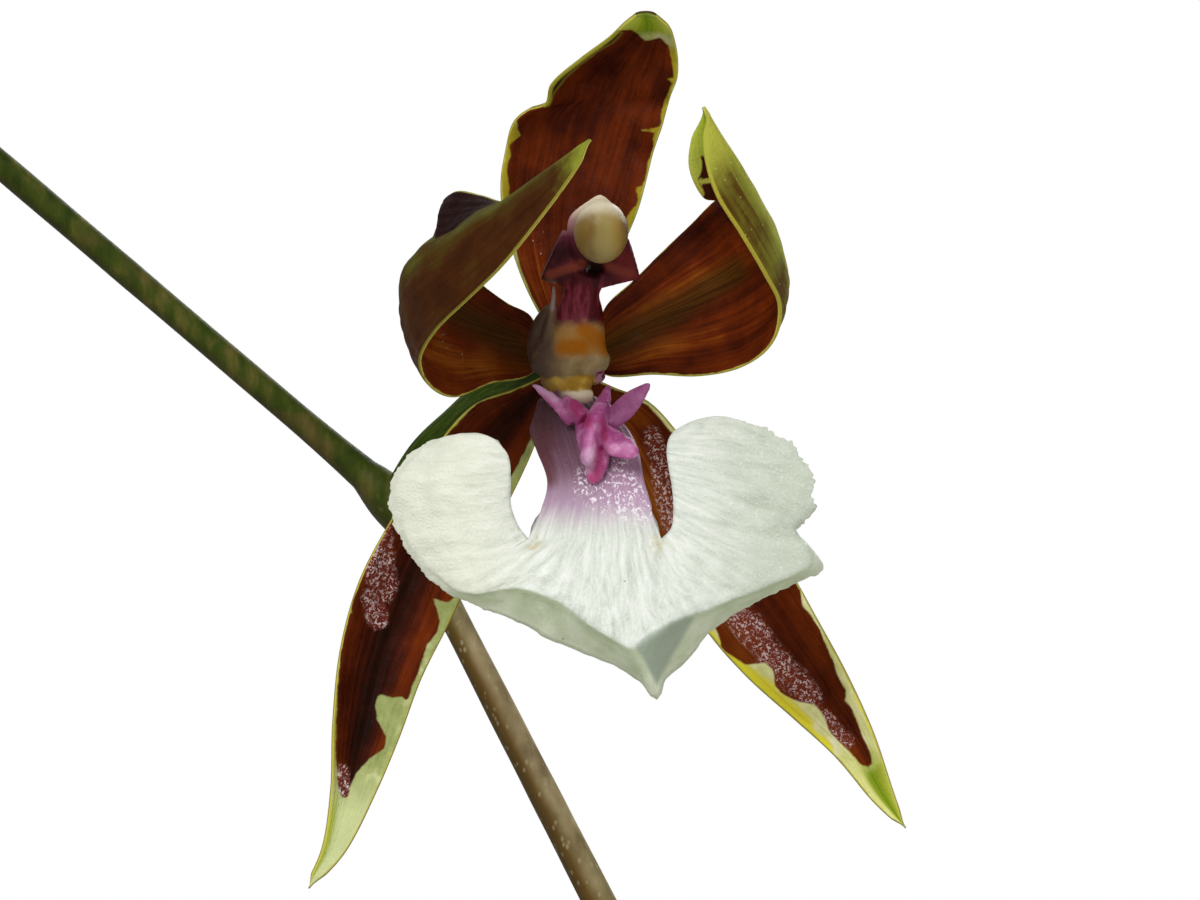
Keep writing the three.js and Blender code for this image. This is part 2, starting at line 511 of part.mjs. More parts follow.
/** The filling: a plug of packed bark with loose chips on top, and holes where the plant goes in. */
function bark(holes) {
  const bottom = POT_FLOOR + GAP;
  const inset = GAP + 0.3;
  const outline = [
    [0, bottom],
    [potInside(bottom) - inset, bottom],
    [potInside(BARK_TOP) - inset, BARK_TOP - 2],
    [potInside(BARK_TOP) - inset - 3, BARK_TOP],
    [0, BARK_TOP],
  ];
  const plug = new THREE.LatheGeometry(outline.map(([r, z]) => new THREE.Vector2(r, z)), BARK_FACETS);
  plug.rotateX(Math.PI / 2);
  const random = seeded(7);
  const pieces = [plug];
  for (let k = 0; k < CHIPS; k++) {
    const size = 5 + 6 * random();
    const chip = new THREE.BoxGeometry(size * 1.5, size, size * 0.55);
    const corners = chip.attributes.position;
    const jitter = new Map();
    for (let n = 0; n < corners.count; n++) {
      const key = [corners.getX(n), corners.getY(n), corners.getZ(n)].map(Math.sign).join();
      if (!jitter.has(key)) jitter.set(key, [0, 1, 2].map(() => 1 - 0.35 * random()));
      const [x, y, z] = jitter.get(key);
      corners.setXYZ(n, corners.getX(n) * x, corners.getY(n) * y, corners.getZ(n) * z);
    }
    chip.rotateX((random() - 0.5) * 50 * DEGREE);
    chip.rotateY((random() - 0.5) * 50 * DEGREE);
    chip.rotateZ(2 * Math.PI * random());
    const turn = k * 137.5 * DEGREE;
    const reach = (potInside(BARK_TOP) - 9) * Math.sqrt((k + 0.5) / CHIPS);
    const [x, y] = [reach * Math.cos(turn), reach * Math.sin(turn)];
    const nearRow = Math.abs(y) < ROW_HALF_DEPTH + size / 2;
    chip.translate(x, y, nearRow ? BARK_TOP - size * 0.75 : BARK_TOP + size * 0.12);
    pieces.push(chip);
  }
  const aboveRow = new THREE.BoxGeometry(4 * POT_RIM_RADIUS, 2 * ROW_HALF_DEPTH, 60);
  aboveRow.translate(0, 0, BARK_TOP + 30.2);
  const bore = new THREE.LatheGeometry([
    new THREE.Vector2(0, 0),
    new THREE.Vector2(potInside(0) - inset, 0),
    new THREE.Vector2(potInside(2 * POT_HEIGHT) - inset, 2 * POT_HEIGHT),
    new THREE.Vector2(0, 2 * POT_HEIGHT),
  ], BARK_FACETS);
  bore.rotateX(Math.PI / 2);
  let body = union(pieces).intersect(solid(bore)).subtract(solid(aboveRow));
  for (const hole of holes) body = body.subtract(hole);
  return skin(body);
}

/** The creeping stem under the bulbs with the roots that leave it, grown by extra all round for its hole. */
function rhizome(extra = 0) {
  const thick = () => RHIZOME.radius + extra;
  const thin = () => ROOT_RADIUS + extra;
  const stock = shaft(drawnOut(RHIZOME.line, extra), thick, thick, 9, 8);
  return union([stock, ...ROOTS.map((line) => shaft(drawnOut(line, extra), thin, thin, 8, 5))]);
}

/** A flattened egg with a blunt top and a faint edge on each side. */
function pseudobulb(bulb) {
  const [rings, sides] = [11, 14];
  const positions = [];
  for (let i = 0; i <= rings; i++) {
    for (let j = 0; j < sides; j++) {
      const point = bulbSkin(bulb, i / rings, (2 * Math.PI * j) / sides, 0);
      positions.push(bulb.x + point.x, point.y, BULB_FOOT + (bulb.height * i) / rings);
    }
  }
  const foot = new THREE.Vector3(bulb.x, 0, BULB_FOOT);
  return closeRings(positions, sides, foot, foot.clone().setZ(BULB_FOOT + bulb.height));
}

/** A point on a bulb's skin, stood off by reach, from the bulb's middle line. */
function bulbSkin({ width, depth }, s, angle, reach) {
  const breadth = along(BULB_OUTLINE, s);
  const edge = 1 + 0.05 * Math.cos(2 * angle);
  return new THREE.Vector2(
    ((width / 2) * breadth * edge + reach) * Math.cos(angle),
    ((depth / 2) * breadth * edge + reach) * Math.sin(angle),
  );
}

/** A dry pointed husk that clasps one narrow side of a bulb, side 1 or -1. */
function husk(bulb, side) {
  const share = 0.62;
  const surface = (s, t) => {
    const spread = 68 * DEGREE * (1 - 0.9 * s ** 1.6);
    const angle = (side > 0 ? 0 : Math.PI) + t * spread;
    const height = 0.03 + share * s;
    const point = bulbSkin(bulb, height, angle, GAP + SHEATH_THICKNESS / 2 + 0.35 + 0.8 * s * s);
    return new THREE.Vector3(bulb.x + point.x, point.y, BULB_FOOT + height * bulb.height);
  };
  return sheet(surface, 6, 4, SHEATH_THICKNESS);
}

/** A strap leaf along +X from its foot: folded there, nearly flat beyond, arching over to a pointed tip. */
function strap({ length, width, rise, bend }) {
  const spine = [new THREE.Vector3()];
  const pieces = 16;
  for (let k = 0; k < pieces; k++) {
    const angle = (rise - bend * ((k + 0.5) / pieces) ** 1.25) * DEGREE;
    const stride = new THREE.Vector3(Math.cos(angle), 0, Math.sin(angle)).multiplyScalar(length / pieces);
    spine.push(spine.at(-1).clone().add(stride));
  }
  const curve = new THREE.CatmullRomCurve3(spine);
  return (s, t) => {
    const breadth = Math.min(1, 0.16 + 2.6 * s) * Math.max(0.02, 1 - Math.max(0, (s - 0.55) / 0.45) ** 2.4);
    const half = (width / 2) * breadth;
    const fold = THREE.MathUtils.lerp(26, 13, smooth(0, 0.35, s)) * DEGREE;
    const ahead = curve.getTangent(s);
    const up = new THREE.Vector3(-ahead.z, 0, ahead.x);
    const point = curve.getPoint(s).addScaledVector(up, Math.abs(t) * half * Math.sin(fold));
    point.y += t * half * Math.cos(fold);
    return point;
  };
}

const leaf = (shape) => sheet(strap(shape), 11, 4, LEAF_THICKNESS);

/** The spike's stem: straight between nodes, with a short round bend and a swelling at each. */
function rachis(extra = 0) {
  const nodes = drawnOut(SPIKE.map(({ at }) => at), extra).map(vector);
  const points = [nodes[0]];
  const radii = [SPIKE[0].radius];
  for (let k = 1; k < nodes.length - 1; k++) {
    const back = nodes[k - 1].clone().sub(nodes[k]).setLength(NODE_REACH);
    const ahead = nodes[k + 1].clone().sub(nodes[k]).setLength(NODE_REACH);
    const bend = nodes[k].clone().addScaledVector(back, 0.1).addScaledVector(ahead, 0.1);
    points.push(nodes[k].clone().add(back), bend, nodes[k].clone().add(ahead));
    radii.push(SPIKE[k].radius, SPIKE[k].radius + NODE_SWELLING, SPIKE[k].radius);
  }
  points.push(nodes.at(-1));
  radii.push(SPIKE.at(-1).radius);
  const thick = (k) => radii[k] + extra;
  return tube(points, thick, thick, 8);
}

/** The bract that clasps the stem at a node: a pointed scale, rooted in the stem all along its foot. */
function bract(node) {
  const { at, radius, bract: length } = SPIKE[node];
  const up = vector(SPIKE[node + 1].at).sub(vector(at)).normalize();
  const toViewer = new THREE.Vector3(0, -1, 0);
  const side = up.clone().cross(toViewer).normalize().multiplyScalar(node % 2 ? 1 : -1);
  const front = side.clone().cross(up);
  const surface = (s, t) => {
    const angle = t * 100 * DEGREE * (1 - 0.93 * s ** 1.4);
    const reach = radius + 0.12 + 0.09 * length * s * s;
    return vector(at)
      .addScaledVector(up, length * s - NODE_REACH)
      .addScaledVector(side, reach * Math.cos(angle))
      .addScaledVector(front, reach * Math.sin(angle));
  };
  const [lengthwise, crosswise] = length > FULL_BRACT ? [3, 4] : [2, 2];
  return sheet(surface, lengthwise, crosswise, BRACT_THICKNESS);
}

/** A stalk that leaves a node sideways and thickens into the ovary behind a flower or under a bud. */
function pedicel(points, from, to, rings, sides) {
  const radius = (s) => THREE.MathUtils.lerp(from, to, smooth(0.35, 0.8, s)) * (1 - 0.15 * smooth(0.9, 1, s));
  return shaft(points, radius, radius, rings, sides);
}

/** A flower's placing: its heart in the part's frame, turned about the vertical and nodding. */
function placing({ heart, turn, nod }) {
  const stand = new THREE.Matrix4().makeTranslation(...heart);
  stand.multiply(new THREE.Matrix4().makeRotationZ(turn * DEGREE));
  return stand.multiply(new THREE.Matrix4().makeRotationX((90 + nod) * DEGREE));
}

/** The pedicel of an open flower, its points given in the flower's frame after the node it grows from. */
function flowerPedicel(flower, rings, sides) {
  const place = placing(flower);
  const line = PEDICEL_LINE.map(([x, y, z]) => new THREE.Vector3(flower.hand * x, y, z).applyMatrix4(place));
  const points = [SPIKE[flower.node].at, ...line.map((point) => point.toArray())];
  return pedicel(points, 0.8, OVARY_RADIUS, rings, sides);
}

/** The whole spike in one piece: stem, bracts, and the stalks of the flowers and buds. */
function flowerSpike() {
  const bracts = [...SPIKE.keys()].filter((node) => SPIKE[node].bract).map(bract);
  const stalks = [flowerPedicel(FIRST_FLOWER, 10, 8)];
  for (const flower of LATER_FLOWERS) stalks.push(flowerPedicel(flower, 8, 6));
  const budStalks = BUDS.map(({ node, offset }) => {
    const foot = vector(SPIKE[node].at);
    const end = foot.clone().add(vector(offset));
    const knee = foot.clone().lerp(end, 0.55).add(new THREE.Vector3(offset[0] * 0.15, 0, -0.6));
    return pedicel([foot, knee, end].map((point) => point.toArray()), 0.45, 0.7, 5, 6);
  });
  return skin(union([rachis(), ...bracts, ...stalks, ...budStalks]));
}

/** A bud at the end of its stalk, pointing on the way the stalk goes. */
function bud({ node, offset, length, width }) {
  const foot = vector(SPIKE[node].at).add(vector(offset));
  const ahead = vector(offset).multiply(new THREE.Vector3(0.7, 1, 1.2)).normalize();
  const shares = [0, 0.5, 1];
  const line = shares.map((share) => foot.clone().addScaledVector(ahead, GAP + share * length).toArray());
  return egg(line, width / 2, width / 2.3, 7, 7, 0.5);
}

/** Flips a list of points, however deep it is nested, left for right. */
function mirrored(points) {
  if (typeof points[0] === "number") return [-points[0], points[1], points[2]];
  return points.map(mirrored);
}

/** A petal or sepal through its rows, its margins waved a little where wave is given. */
function tepal(rows, { along: lengthwise, across: crosswise }, wave = 0) {
  const flat = throughRows(rows);
  const surface = (s, t) => {
    const point = flat(s, t);
    point.z += wave * t * t * Math.sin(Math.PI * s) * Math.sin((9 * s + (t > 0 ? 0.4 : 0)) * Math.PI);
    return point;
  };
  return sheet(surface, lengthwise, crosswise, TEPAL_THICKNESS);
}

/** The middle face of the lip's claw: s from its foot to the blade, t across. */
function clawSurface(hand) {
  const [left, right] = [CLAW_LEFT, CLAW_RIGHT].map((line) => spline(hand > 0 ? line : mirrored(line)));
  return (s, t) => {
    const point = left.getPoint(s).lerp(right.getPoint(s), (t + 1) / 2);
    point.z += CLAW_SWELL * s * (1 - t * t);
    return point;
  };
}

/** The lip's middle face: s from the foot of the claw over the blade to the margin, t from lobe to lobe. */
function lipSurface(hand) {
  const pick = hand > 0 ? (points) => points : mirrored;
  const claw = clawSurface(hand);
  const [leftEdge, rightEdge] = [LEFT_LOBE_EDGE, RIGHT_LOBE_EDGE].map((line) => spline(pick(line)));
  const [middle, crease, margin] = [0, 1, 2].map((k) => spline(pick(BLADE.map((column) => column[k]))));
  const [from, to] = CLAW_COLUMNS;
  const last = BLADE.length - 1;
  const rows = CLAW_ROWS + BLADE_ROWS + 1;
  const foot = (column) => {
    if (column < from) return leftEdge.getPoint(column / from);
    if (column > to) return rightEdge.getPoint((column - to) / (last - to));
    return claw(1, (2 * (column - from)) / (to - from) - 1);
  };
  return (s, t) => {
    const column = ((t + 1) / 2) * last;
    const row = s * rows;
    if (row < CLAW_ROWS && column >= from && column <= to) {
      return claw(row / CLAW_ROWS, (2 * (column - from)) / (to - from) - 1);
    }
    const share = THREE.MathUtils.clamp((row - CLAW_ROWS) / BLADE_ROWS, 0, 1);
    const bend = crease.getPoint((t + 1) / 2);
    if (share === 1) return bend.lerp(margin.getPoint((t + 1) / 2), row - CLAW_ROWS - BLADE_ROWS);
    return new THREE.Vector3()
      .addScaledVector(foot(column), (1 - share) * (1 - 2 * share))
      .addScaledVector(middle.getPoint((t + 1) / 2), 4 * share * (1 - share))
      .addScaledVector(bend, share * (2 * share - 1));
  };
}

/** The lip, its columns split as finely as asked. */
function lip(hand, { lipSplit }) {
  const [from, to] = CLAW_COLUMNS.map((column) => column * lipSplit);
  const kept = (i, j) => i >= CLAW_ROWS || (j >= from && j < to);
  const crosswise = (BLADE.length - 1) * lipSplit;
  return sheet(lipSurface(hand), CLAW_ROWS + BLADE_ROWS + 1, crosswise, LIP_THICKNESS, kept);
}

/** The ridges on the claw, in one piece that lies on the lip. */
function crest(hand, { ridges: count, crestRings, crestSides }) {
  const pick = hand > 0 ? (points) => points : mirrored;
  const ridges = CREST.slice(0, count).map(({ line, wide, tall }) => {
    const forward = new THREE.Vector3(0, 0.6, 0.8);
    return shaft(pick(line), (s) => along(wide, s), (s) => along(tall, s), crestRings, crestSides, forward);
  });
  return union(ridges);
}

/** The column with its two wings. */
function column(hand, { sides, wing }) {
  const pick = hand > 0 ? (points) => points : mirrored;
  const post = shaft(pick(COLUMN_LINE), (s) => along(COLUMN_WIDE, s), (s) => along(COLUMN_DEEP, s), 9, sides);
  const wings = COLUMN_WINGS.map((rows) => sheet(throughRows(pick(rows)), wing, wing, 0.6));
  return union([post, ...wings]);
}

/** The anther cap, a small egg on the end of the column. */
function cap(hand, { sides }) {
  const ball = new THREE.SphereGeometry(1, sides, Math.round(sides * 0.7));
  ball.scale(CAP.wide, CAP.tall, CAP.deep);
  ball.translate(hand * CAP.at[0], CAP.at[1], CAP.at[2]);
  return ball;
}

const part = new THREE.Group();

/** Adds one named piece to a group, in a colour of its own. */
function add(group, name, geometry, colour) {
  const [tint, roughness] = COLOURS[colour];
  const flat = geometry.index ? geometry : mergeVertices(geometry, WELD);
  const mesh = new THREE.Mesh(flat, new THREE.MeshStandardMaterial({ color: tint, roughness, metalness: 0 }));
  mesh.name = name;
  group.add(mesh);
  return mesh;
}

add(part, "pot", pot(), "clay");
add(part, "bark_mix", bark([rhizome(GAP), solid(rachis(GAP))]), "bark");
add(part, "rhizome_roots", skin(rhizome()), "root");

for (const [k, bulb] of BULBS.entries()) {
  add(part, `pseudobulb_${k + 1}`, pseudobulb(bulb), "bulb");
  add(part, `sheath_${k + 1}_left`, husk(bulb, -1), "husk");
  add(part, `sheath_${k + 1}_right`, husk(bulb, 1), "husk");
}

for (const [k, shape] of LEAVES.entries()) {
  const bulb = BULBS[shape.bulb];
  const mesh = add(part, `leaf_${k + 1}`, leaf(shape), "leaf");
  const heading = shape.heading * DEGREE;
  mesh.position.set(LEAF_SPREAD * Math.cos(heading), LEAF_SPREAD * Math.sin(heading), LEAF_RAISE);
  mesh.position.add(new THREE.Vector3(bulb.x, 0, BULB_FOOT + bulb.height));
  mesh.rotation.z = heading;
}

for (const [k, shape] of SHEATH_LEAVES.entries()) {
  const mesh = add(part, `sheath_leaf_${k + 1}`, leaf(shape), "leaf");
  mesh.position.set(shape.x, shape.y, BARK_TOP + LEAF_RAISE);
  mesh.rotation.z = shape.heading * DEGREE;
}

add(part, "flower_spike", flowerSpike(), "stem");

/** A group that stands where a flower is, so that its pieces are placed in the flower's own frame. */
function flowerGroup(flower) {
  const group = new THREE.Group();
  group.applyMatrix4(placing(flower));
  part.add(group);
  return group;
}

const first = flowerGroup(FIRST_FLOWER);
add(first, "dorsal_sepal", tepal(DORSAL_SEPAL, FINE, 0.3), "tepal");
add(first, "petal_left", tepal(PETAL_LEFT, FINE), "tepal");
add(first, "petal_right", tepal(PETAL_RIGHT, FINE), "tepal");
add(first, "lateral_sepal_left", tepal(LATERAL_SEPAL_LEFT, FINE, 0.2), "tepal");
add(first, "lateral_sepal_right", tepal(LATERAL_SEPAL_RIGHT, FINE, 0.2), "tepal");
add(first, "lip", lip(1, FINE), "lip");
const [clawFrom, clawTo] = CLAW_COLUMNS;
const clawBed = sheet(clawSurface(1), CLAW_ROWS, clawTo - clawFrom, LIP_THICKNESS + 2 * GAP);
add(first, "lip_crest", skin(crest(1, FINE).subtract(solid(clawBed))), "crest");
add(first, "column", skin(column(1, FINE)), "column");
add(first, "anther_cap", cap(1, FINE), "cap");

for (const flower of LATER_FLOWERS) {
  const group = flowerGroup(flower);
  const pick = flower.hand > 0 ? (points) => points : mirrored;
  const rows = [DORSAL_SEPAL, PETAL_LEFT, PETAL_RIGHT, LATERAL_SEPAL_LEFT, LATERAL_SEPAL_RIGHT].map(pick);
  const heart = new THREE.CylinderGeometry(1.6, 1.6, 0.5, 8);
  heart.rotateX(Math.PI / 2);
  heart.translate(0, 0, -0.3);
  const tepals = union([heart, ...rows.map((list) => tepal(list, PLAIN))]);
  add(group, `${flower.name}_tepals`, skin(tepals), "tepal");
  const lobes = solid(lip(flower.hand, PLAIN)).add(crest(flower.hand, PLAIN));
  add(group, `${flower.name}_lip`, skin(lobes), "lip");
  const post = column(flower.hand, PLAIN).add(solid(cap(flower.hand, PLAIN)));
  add(group, `${flower.name}_column`, skin(post), "column");
}

for (const [k, shape] of BUDS.entries()) add(part, `bud_${k + 1}`, bud(shape), "bud");

export default part;
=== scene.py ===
"""A potted orchid: a clay pot of bark, three pseudobulbs with strap leaves, and a zigzag spike of flowers."""

import math
import random

import bmesh
import bpy
import numpy as np
from mathutils import Matrix, Vector, noise


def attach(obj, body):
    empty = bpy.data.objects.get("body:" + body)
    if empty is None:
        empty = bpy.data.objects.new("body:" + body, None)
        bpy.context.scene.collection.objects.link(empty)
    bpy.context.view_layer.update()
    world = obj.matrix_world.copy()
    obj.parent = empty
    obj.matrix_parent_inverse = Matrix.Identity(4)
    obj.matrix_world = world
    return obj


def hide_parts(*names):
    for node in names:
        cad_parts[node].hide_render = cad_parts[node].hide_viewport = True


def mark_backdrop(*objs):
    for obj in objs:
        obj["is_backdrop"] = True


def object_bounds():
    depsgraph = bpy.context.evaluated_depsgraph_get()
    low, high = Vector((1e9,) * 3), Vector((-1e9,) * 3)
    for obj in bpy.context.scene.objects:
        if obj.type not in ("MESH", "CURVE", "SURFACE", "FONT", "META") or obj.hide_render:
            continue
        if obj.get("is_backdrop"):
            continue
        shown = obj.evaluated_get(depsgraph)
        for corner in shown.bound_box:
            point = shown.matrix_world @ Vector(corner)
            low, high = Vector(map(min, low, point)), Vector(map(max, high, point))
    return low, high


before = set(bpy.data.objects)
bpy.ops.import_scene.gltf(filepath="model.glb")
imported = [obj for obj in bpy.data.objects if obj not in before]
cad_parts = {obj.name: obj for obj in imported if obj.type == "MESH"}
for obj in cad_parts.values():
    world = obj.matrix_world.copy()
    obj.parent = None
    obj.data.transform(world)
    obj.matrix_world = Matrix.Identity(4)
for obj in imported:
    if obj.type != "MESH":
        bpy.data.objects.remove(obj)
cad_low, cad_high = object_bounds()

# The pot: a plain clay pot with a collar and five drain holes in its floor, thrown on a wheel from brick-red
# clay and fired unglazed. It stands on its own flat foot and carries everything else.
MM = 0.001
POT_SIDES = 128
POT_PROFILE = [
    (0, 0), (30, 0), (35.5, 0), (36.6, 0.5), (37, 1.5), (46, 75), (49.6, 75.4), (50.6, 76.2), (51.5, 78),
    (52, 89.5), (51.5, 91.3), (50, 92), (48.8, 92), (47.8, 91.6), (47.5, 90.5), (33.1, 6), (0, 6),
]
WHEEL_LINES = 0.1
MARKED_FROM, MARKED_TO = 3, 91
PROFILE_STEP = 2.0
DRILL_FROM, DRILL_TO, DRILL_SIDES = -6, 12, 24
DRAIN_HOLES, DRAIN_RADIUS, DRAIN_CIRCLE = 5, 3.5, 23


def build(name, points, faces, painted=None):
    """A piece from corner points in millimetres, with the numbers that its finish needs painted on it."""
    mesh = bpy.data.meshes.new(name)
    mesh.from_pydata((np.asarray(points, float) * MM).tolist(), [], faces)
    for key, numbers in (painted or {}).items():
        layer = mesh.attributes.new(key, "FLOAT", "POINT")
        layer.data.foreach_set("value", np.asarray(numbers, dtype=np.float32))
    mesh.shade_smooth()
    piece = bpy.data.objects.new(name, mesh)
    bpy.context.collection.objects.link(piece)
    return piece


def settle(piece):
    """Makes a piece's modifiers part of its mesh."""
    bpy.context.view_layer.update()
    mesh = bpy.data.meshes.new_from_object(piece.evaluated_get(bpy.context.evaluated_depsgraph_get()))
    piece.modifiers.clear()
    piece.data = mesh
    return piece


def fit(piece, finish, slot, *nodes):
    """Gives a piece its finish and fixes it to the plant, in place of the plain solids named."""
    piece.data.materials.clear()
    piece.data.materials.append(finish)
    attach(piece, "root")
    if nodes:
        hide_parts(*nodes)
    return piece


def tone(code):
    """A colour from its six-digit code."""
    shares = [int(code[k:k + 2], 16) / 255 for k in (0, 2, 4)]
    return (*[c / 12.92 if c <= 0.04045 else ((c + 0.055) / 1.055) ** 2.4 for c in shares], 1.0)


class Wire:
    """What a node gives out. It adds, subtracts and multiplies with another one, or with a number."""

    def __init__(self, finish, socket):
        self.finish, self.socket = finish, socket

    def __add__(self, other):
        return self.finish.sum("ADD", self, other)

    def __sub__(self, other):
        return self.finish.sum("SUBTRACT", self, other)

    def __mul__(self, other):
        return self.finish.sum("MULTIPLY", self, other)


class Finish:
    """One shader whose colour, roughness and fine relief are made by nodes."""

    def __init__(self, name, **values):
        self.material = bpy.data.materials.new(name)
        self.material.use_nodes = True
        self.tree = self.material.node_tree
        self.shader = self.tree.nodes["Principled BSDF"]
        for plug, value in values.items():
            self.shader.inputs[plug.replace("_", " ")].default_value = value

    def node(self, kind, **settings):
        made = self.tree.nodes.new("ShaderNode" + kind)
        for key, value in settings.items():
            setattr(made, key, value)
        return made

    def feed(self, made, plug, value):
        if isinstance(value, Wire):
            self.tree.links.new(value.socket, made.inputs[plug])
        elif isinstance(value, str):
            made.inputs[plug].default_value = tone(value)
        else:
            made.inputs[plug].default_value = value

    def painted(self, key):
        return Wire(self, self.node("Attribute", attribute_name=key).outputs["Fac"])

    def place(self):
        """Where a point is on the object, in millimetres."""
        made = self.node("VectorMath", operation="SCALE")
        self.feed(made, 0, Wire(self, self.node("TexCoord").outputs["Object"]))
        made.inputs["Scale"].default_value = 1 / MM
        return Wire(self, made.outputs[0])

    def span(self, x=0.0, y=0.0, z=0.0):
        made = self.node("CombineXYZ")
        for plug, value in enumerate((x, y, z)):
            self.feed(made, plug, value)
        return Wire(self, made.outputs[0])

    def stretch(self, at, x, y, z):
        made = self.node("VectorMath", operation="MULTIPLY")
        self.feed(made, 0, at)
        made.inputs[1].default_value = (x, y, z)
        return Wire(self, made.outputs[0])

    def sum(self, how, first, second=0.0, third=0.0):
        made = self.node("Math", operation=how)
        for plug, value in enumerate((first, second, third)):
            self.feed(made, plug, value)
        return Wire(self, made.outputs[0])

    def cloud(self, at, scale=1.0, detail=3.0, rough=0.55, warp=0.0):
        made = self.node("TexNoise")
        for plug, value in zip(
            ("Vector", "Scale", "Detail", "Roughness", "Distortion"), (at, scale, detail, rough, warp)
        ):
            self.feed(made, plug, value)
        return Wire(self, made.outputs["Fac"])

    def cells(self, at, scale):
        made = self.node("TexVoronoi")
        self.feed(made, "Vector", at)
        self.feed(made, "Scale", scale)
        return Wire(self, made.outputs["Distance"])

    def stops(self, share, *pairs):
        """Colours met one after another as the share rises."""
        made = self.node("ValToRGB")
        ramp = made.color_ramp
        while len(ramp.elements) < len(pairs):
            ramp.elements.new(0.5)
        for element, (position, code) in zip(ramp.elements, pairs):
            element.position = position
            element.color = tone(code)
        self.feed(made, 0, share)
        return Wire(self, made.outputs["Color"])

    def step(self, value, low, high, to_low=0.0, to_high=1.0):
        """Passes softly from one number to another while value goes from low to high."""
        made = self.node("MapRange", interpolation_type="SMOOTHSTEP")
        for plug, number in enumerate((value, low, high, to_low, to_high)):
            self.feed(made, plug, number)
        return Wire(self, made.outputs[0])

    def mix(self, share, first, second):
        made = self.node("Mix", data_type="RGBA")
        for plug, value in ((0, share), (6, first), (7, second)):
            self.feed(made, plug, value)
        return Wire(self, made.outputs[2])

    def relief(self, height, depth, strength=1.0, over=None):
        """Fine relief, its depth in millimetres."""
        made = self.node("Bump")
        made.inputs["Strength"].default_value = strength
        made.inputs["Distance"].default_value = depth * MM
        self.feed(made, "Height", height)
        if over:
            self.feed(made, "Normal", over)
        return Wire(self, made.outputs[0])

    def done(self, colour, roughness, relief):
        for plug, value in (("Base Color", colour), ("Roughness", roughness), ("Normal", relief)):
            self.feed(self.shader, plug, value)
        return self.material


def stacked(rings, sides):
    """Faces of a closed body of stacked rings; its two end points come after the points of the rings."""
    last = (rings - 1) * sides
    faces = []
    for j in range(sides):
        k = (j + 1) % sides
        faces += [(i + j, i + k, i + sides + k, i + sides + j) for i in range(0, last, sides)]
        faces += [(last + sides, k, j), (last + sides + 1, last + j, last + k)]
    return faces


def turned(profile, sides, wander=None):
    """Points and faces of a body turned from a profile of radii and heights that begins and ends at 0."""
    rings = np.array(profile[1:-1], float)
    angles = np.arange(sides) * 2 * math.pi / sides
    radius = rings[:, 0, None] * np.ones(sides)
    height = rings[:, 1, None] * np.ones(sides)
    if wander:
        radius, height = wander(radius, height, angles)
    points = np.stack([radius * np.cos(angles), radius * np.sin(angles), height], -1).reshape(-1, 3)
    points = np.vstack([points, [[0, 0, profile[0][1]], [0, 0, profile[-1][1]]]])
    return points, stacked(len(rings), sides)


def refined(profile, reach):
    """The same profile with its long straight stretches divided."""
    line = [profile[0]]
    for here, there in zip(profile, profile[1:]):
        pieces = max(1, round(math.dist(here, there) / reach))
        line += [tuple(a + (b - a) * (k + 1) / pieces for a, b in zip(here, there)) for k in range(pieces)]
    return line


def wheel_marked(radius, height, angles):
    line = np.sin(height * 2.1 + 0.6 * np.sin(angles)) + 0.6 * np.sin(height * 0.83 + angles)
    plain = (height > MARKED_FROM) & (height < MARKED_TO)
    return radius + WHEEL_LINES * line * plain, height


pot = build("pot_wall", *turned(refined(POT_PROFILE, PROFILE_STEP), POT_SIDES, wheel_marked))
DRILL_PROFILE = [(0, DRILL_FROM), (DRAIN_RADIUS, DRILL_FROM), (DRAIN_RADIUS, DRILL_TO), (0, DRILL_TO)]
drills = []
for k in range(DRAIN_HOLES):
    angle = 2 * math.pi * k / DRAIN_HOLES
    middle = Vector((DRAIN_CIRCLE * math.cos(angle), DRAIN_CIRCLE * math.sin(angle), 0))
    points, faces = turned(DRILL_PROFILE, DRILL_SIDES)
    drill = build("drain_drill", points + np.array(middle), faces)
    cut = pot.modifiers.new("drain", "BOOLEAN")
    cut.object, cut.solver = drill, "EXACT"
    drills.append(drill)
settle(pot)
for drill in drills:
    bpy.data.objects.remove(drill)

clay = Finish("fired_clay")
spot = clay.place()
body = clay.stops(clay.cloud(spot, 0.06, 5), (0.3, "a85a38"), (0.5, "b9683f"), (0.72, "c77c52"))
body = clay.mix(clay.step(clay.cloud(spot, 2.2, 4, 0.7), 0.55, 0.8, 0, 0.2), body, "8a4a2e")
bloom = clay.step(
    clay.cloud(spot, 0.045, 6, 0.65), 0.5, 0.68
) * clay.step(clay.cloud(spot, 0.7, 5, 0.7), 0.3, 0.7)
body = clay.mix(bloom * 0.55, body, "d9c5b0")
grit = clay.cloud(spot, 1.6, 6, 0.7)
clay_skin = clay.done(body, clay.step(grit, 0.2, 0.8, 0.75, 0.97), clay.relief(grit, 0.25, 0.6))
fit(pot, clay_skin, "clay", "pot")

# The bark: chunks of fir bark packed into the pot as the orchid's only soil. They lie loose, held by the
# pot's wall, with the bulbs' creeping stem half sunk in them.
BARK_TOP = 79
BARK_PLUG = [(0, 6.4), (31.8, 6.4), (44.6, 76.5), (42, 78), (0, 78)]
CHIP_COUNT = 330
CHIP_REACH, CHIP_EDGE = 42.5, 44.5
GOLDEN_ANGLE = 2.39996
CHIP_LENGTHS, CHIP_BREADTHS, CHIP_HEIGHTS = (3.2, 6.4), (2.2, 4.2), (1.2, 2.4)
CHIP_LIFTS = (-1.6, 1.4)
BULB_HOLLOW, FOOT_HOLLOW, ROOT_HOLLOW = 3.4, 3.0, 1.8
ROOT_CLEARANCE = 6
BULBS = [
    {"x": -29, "height": 50, "width": 19, "depth": 10.5, "age": 1.0},
    {"x": -4, "height": 58, "width": 23, "depth": 12, "age": 0.5},
    {"x": 24, "height": 64, "width": 25, "depth": 13, "age": 0.0},
]
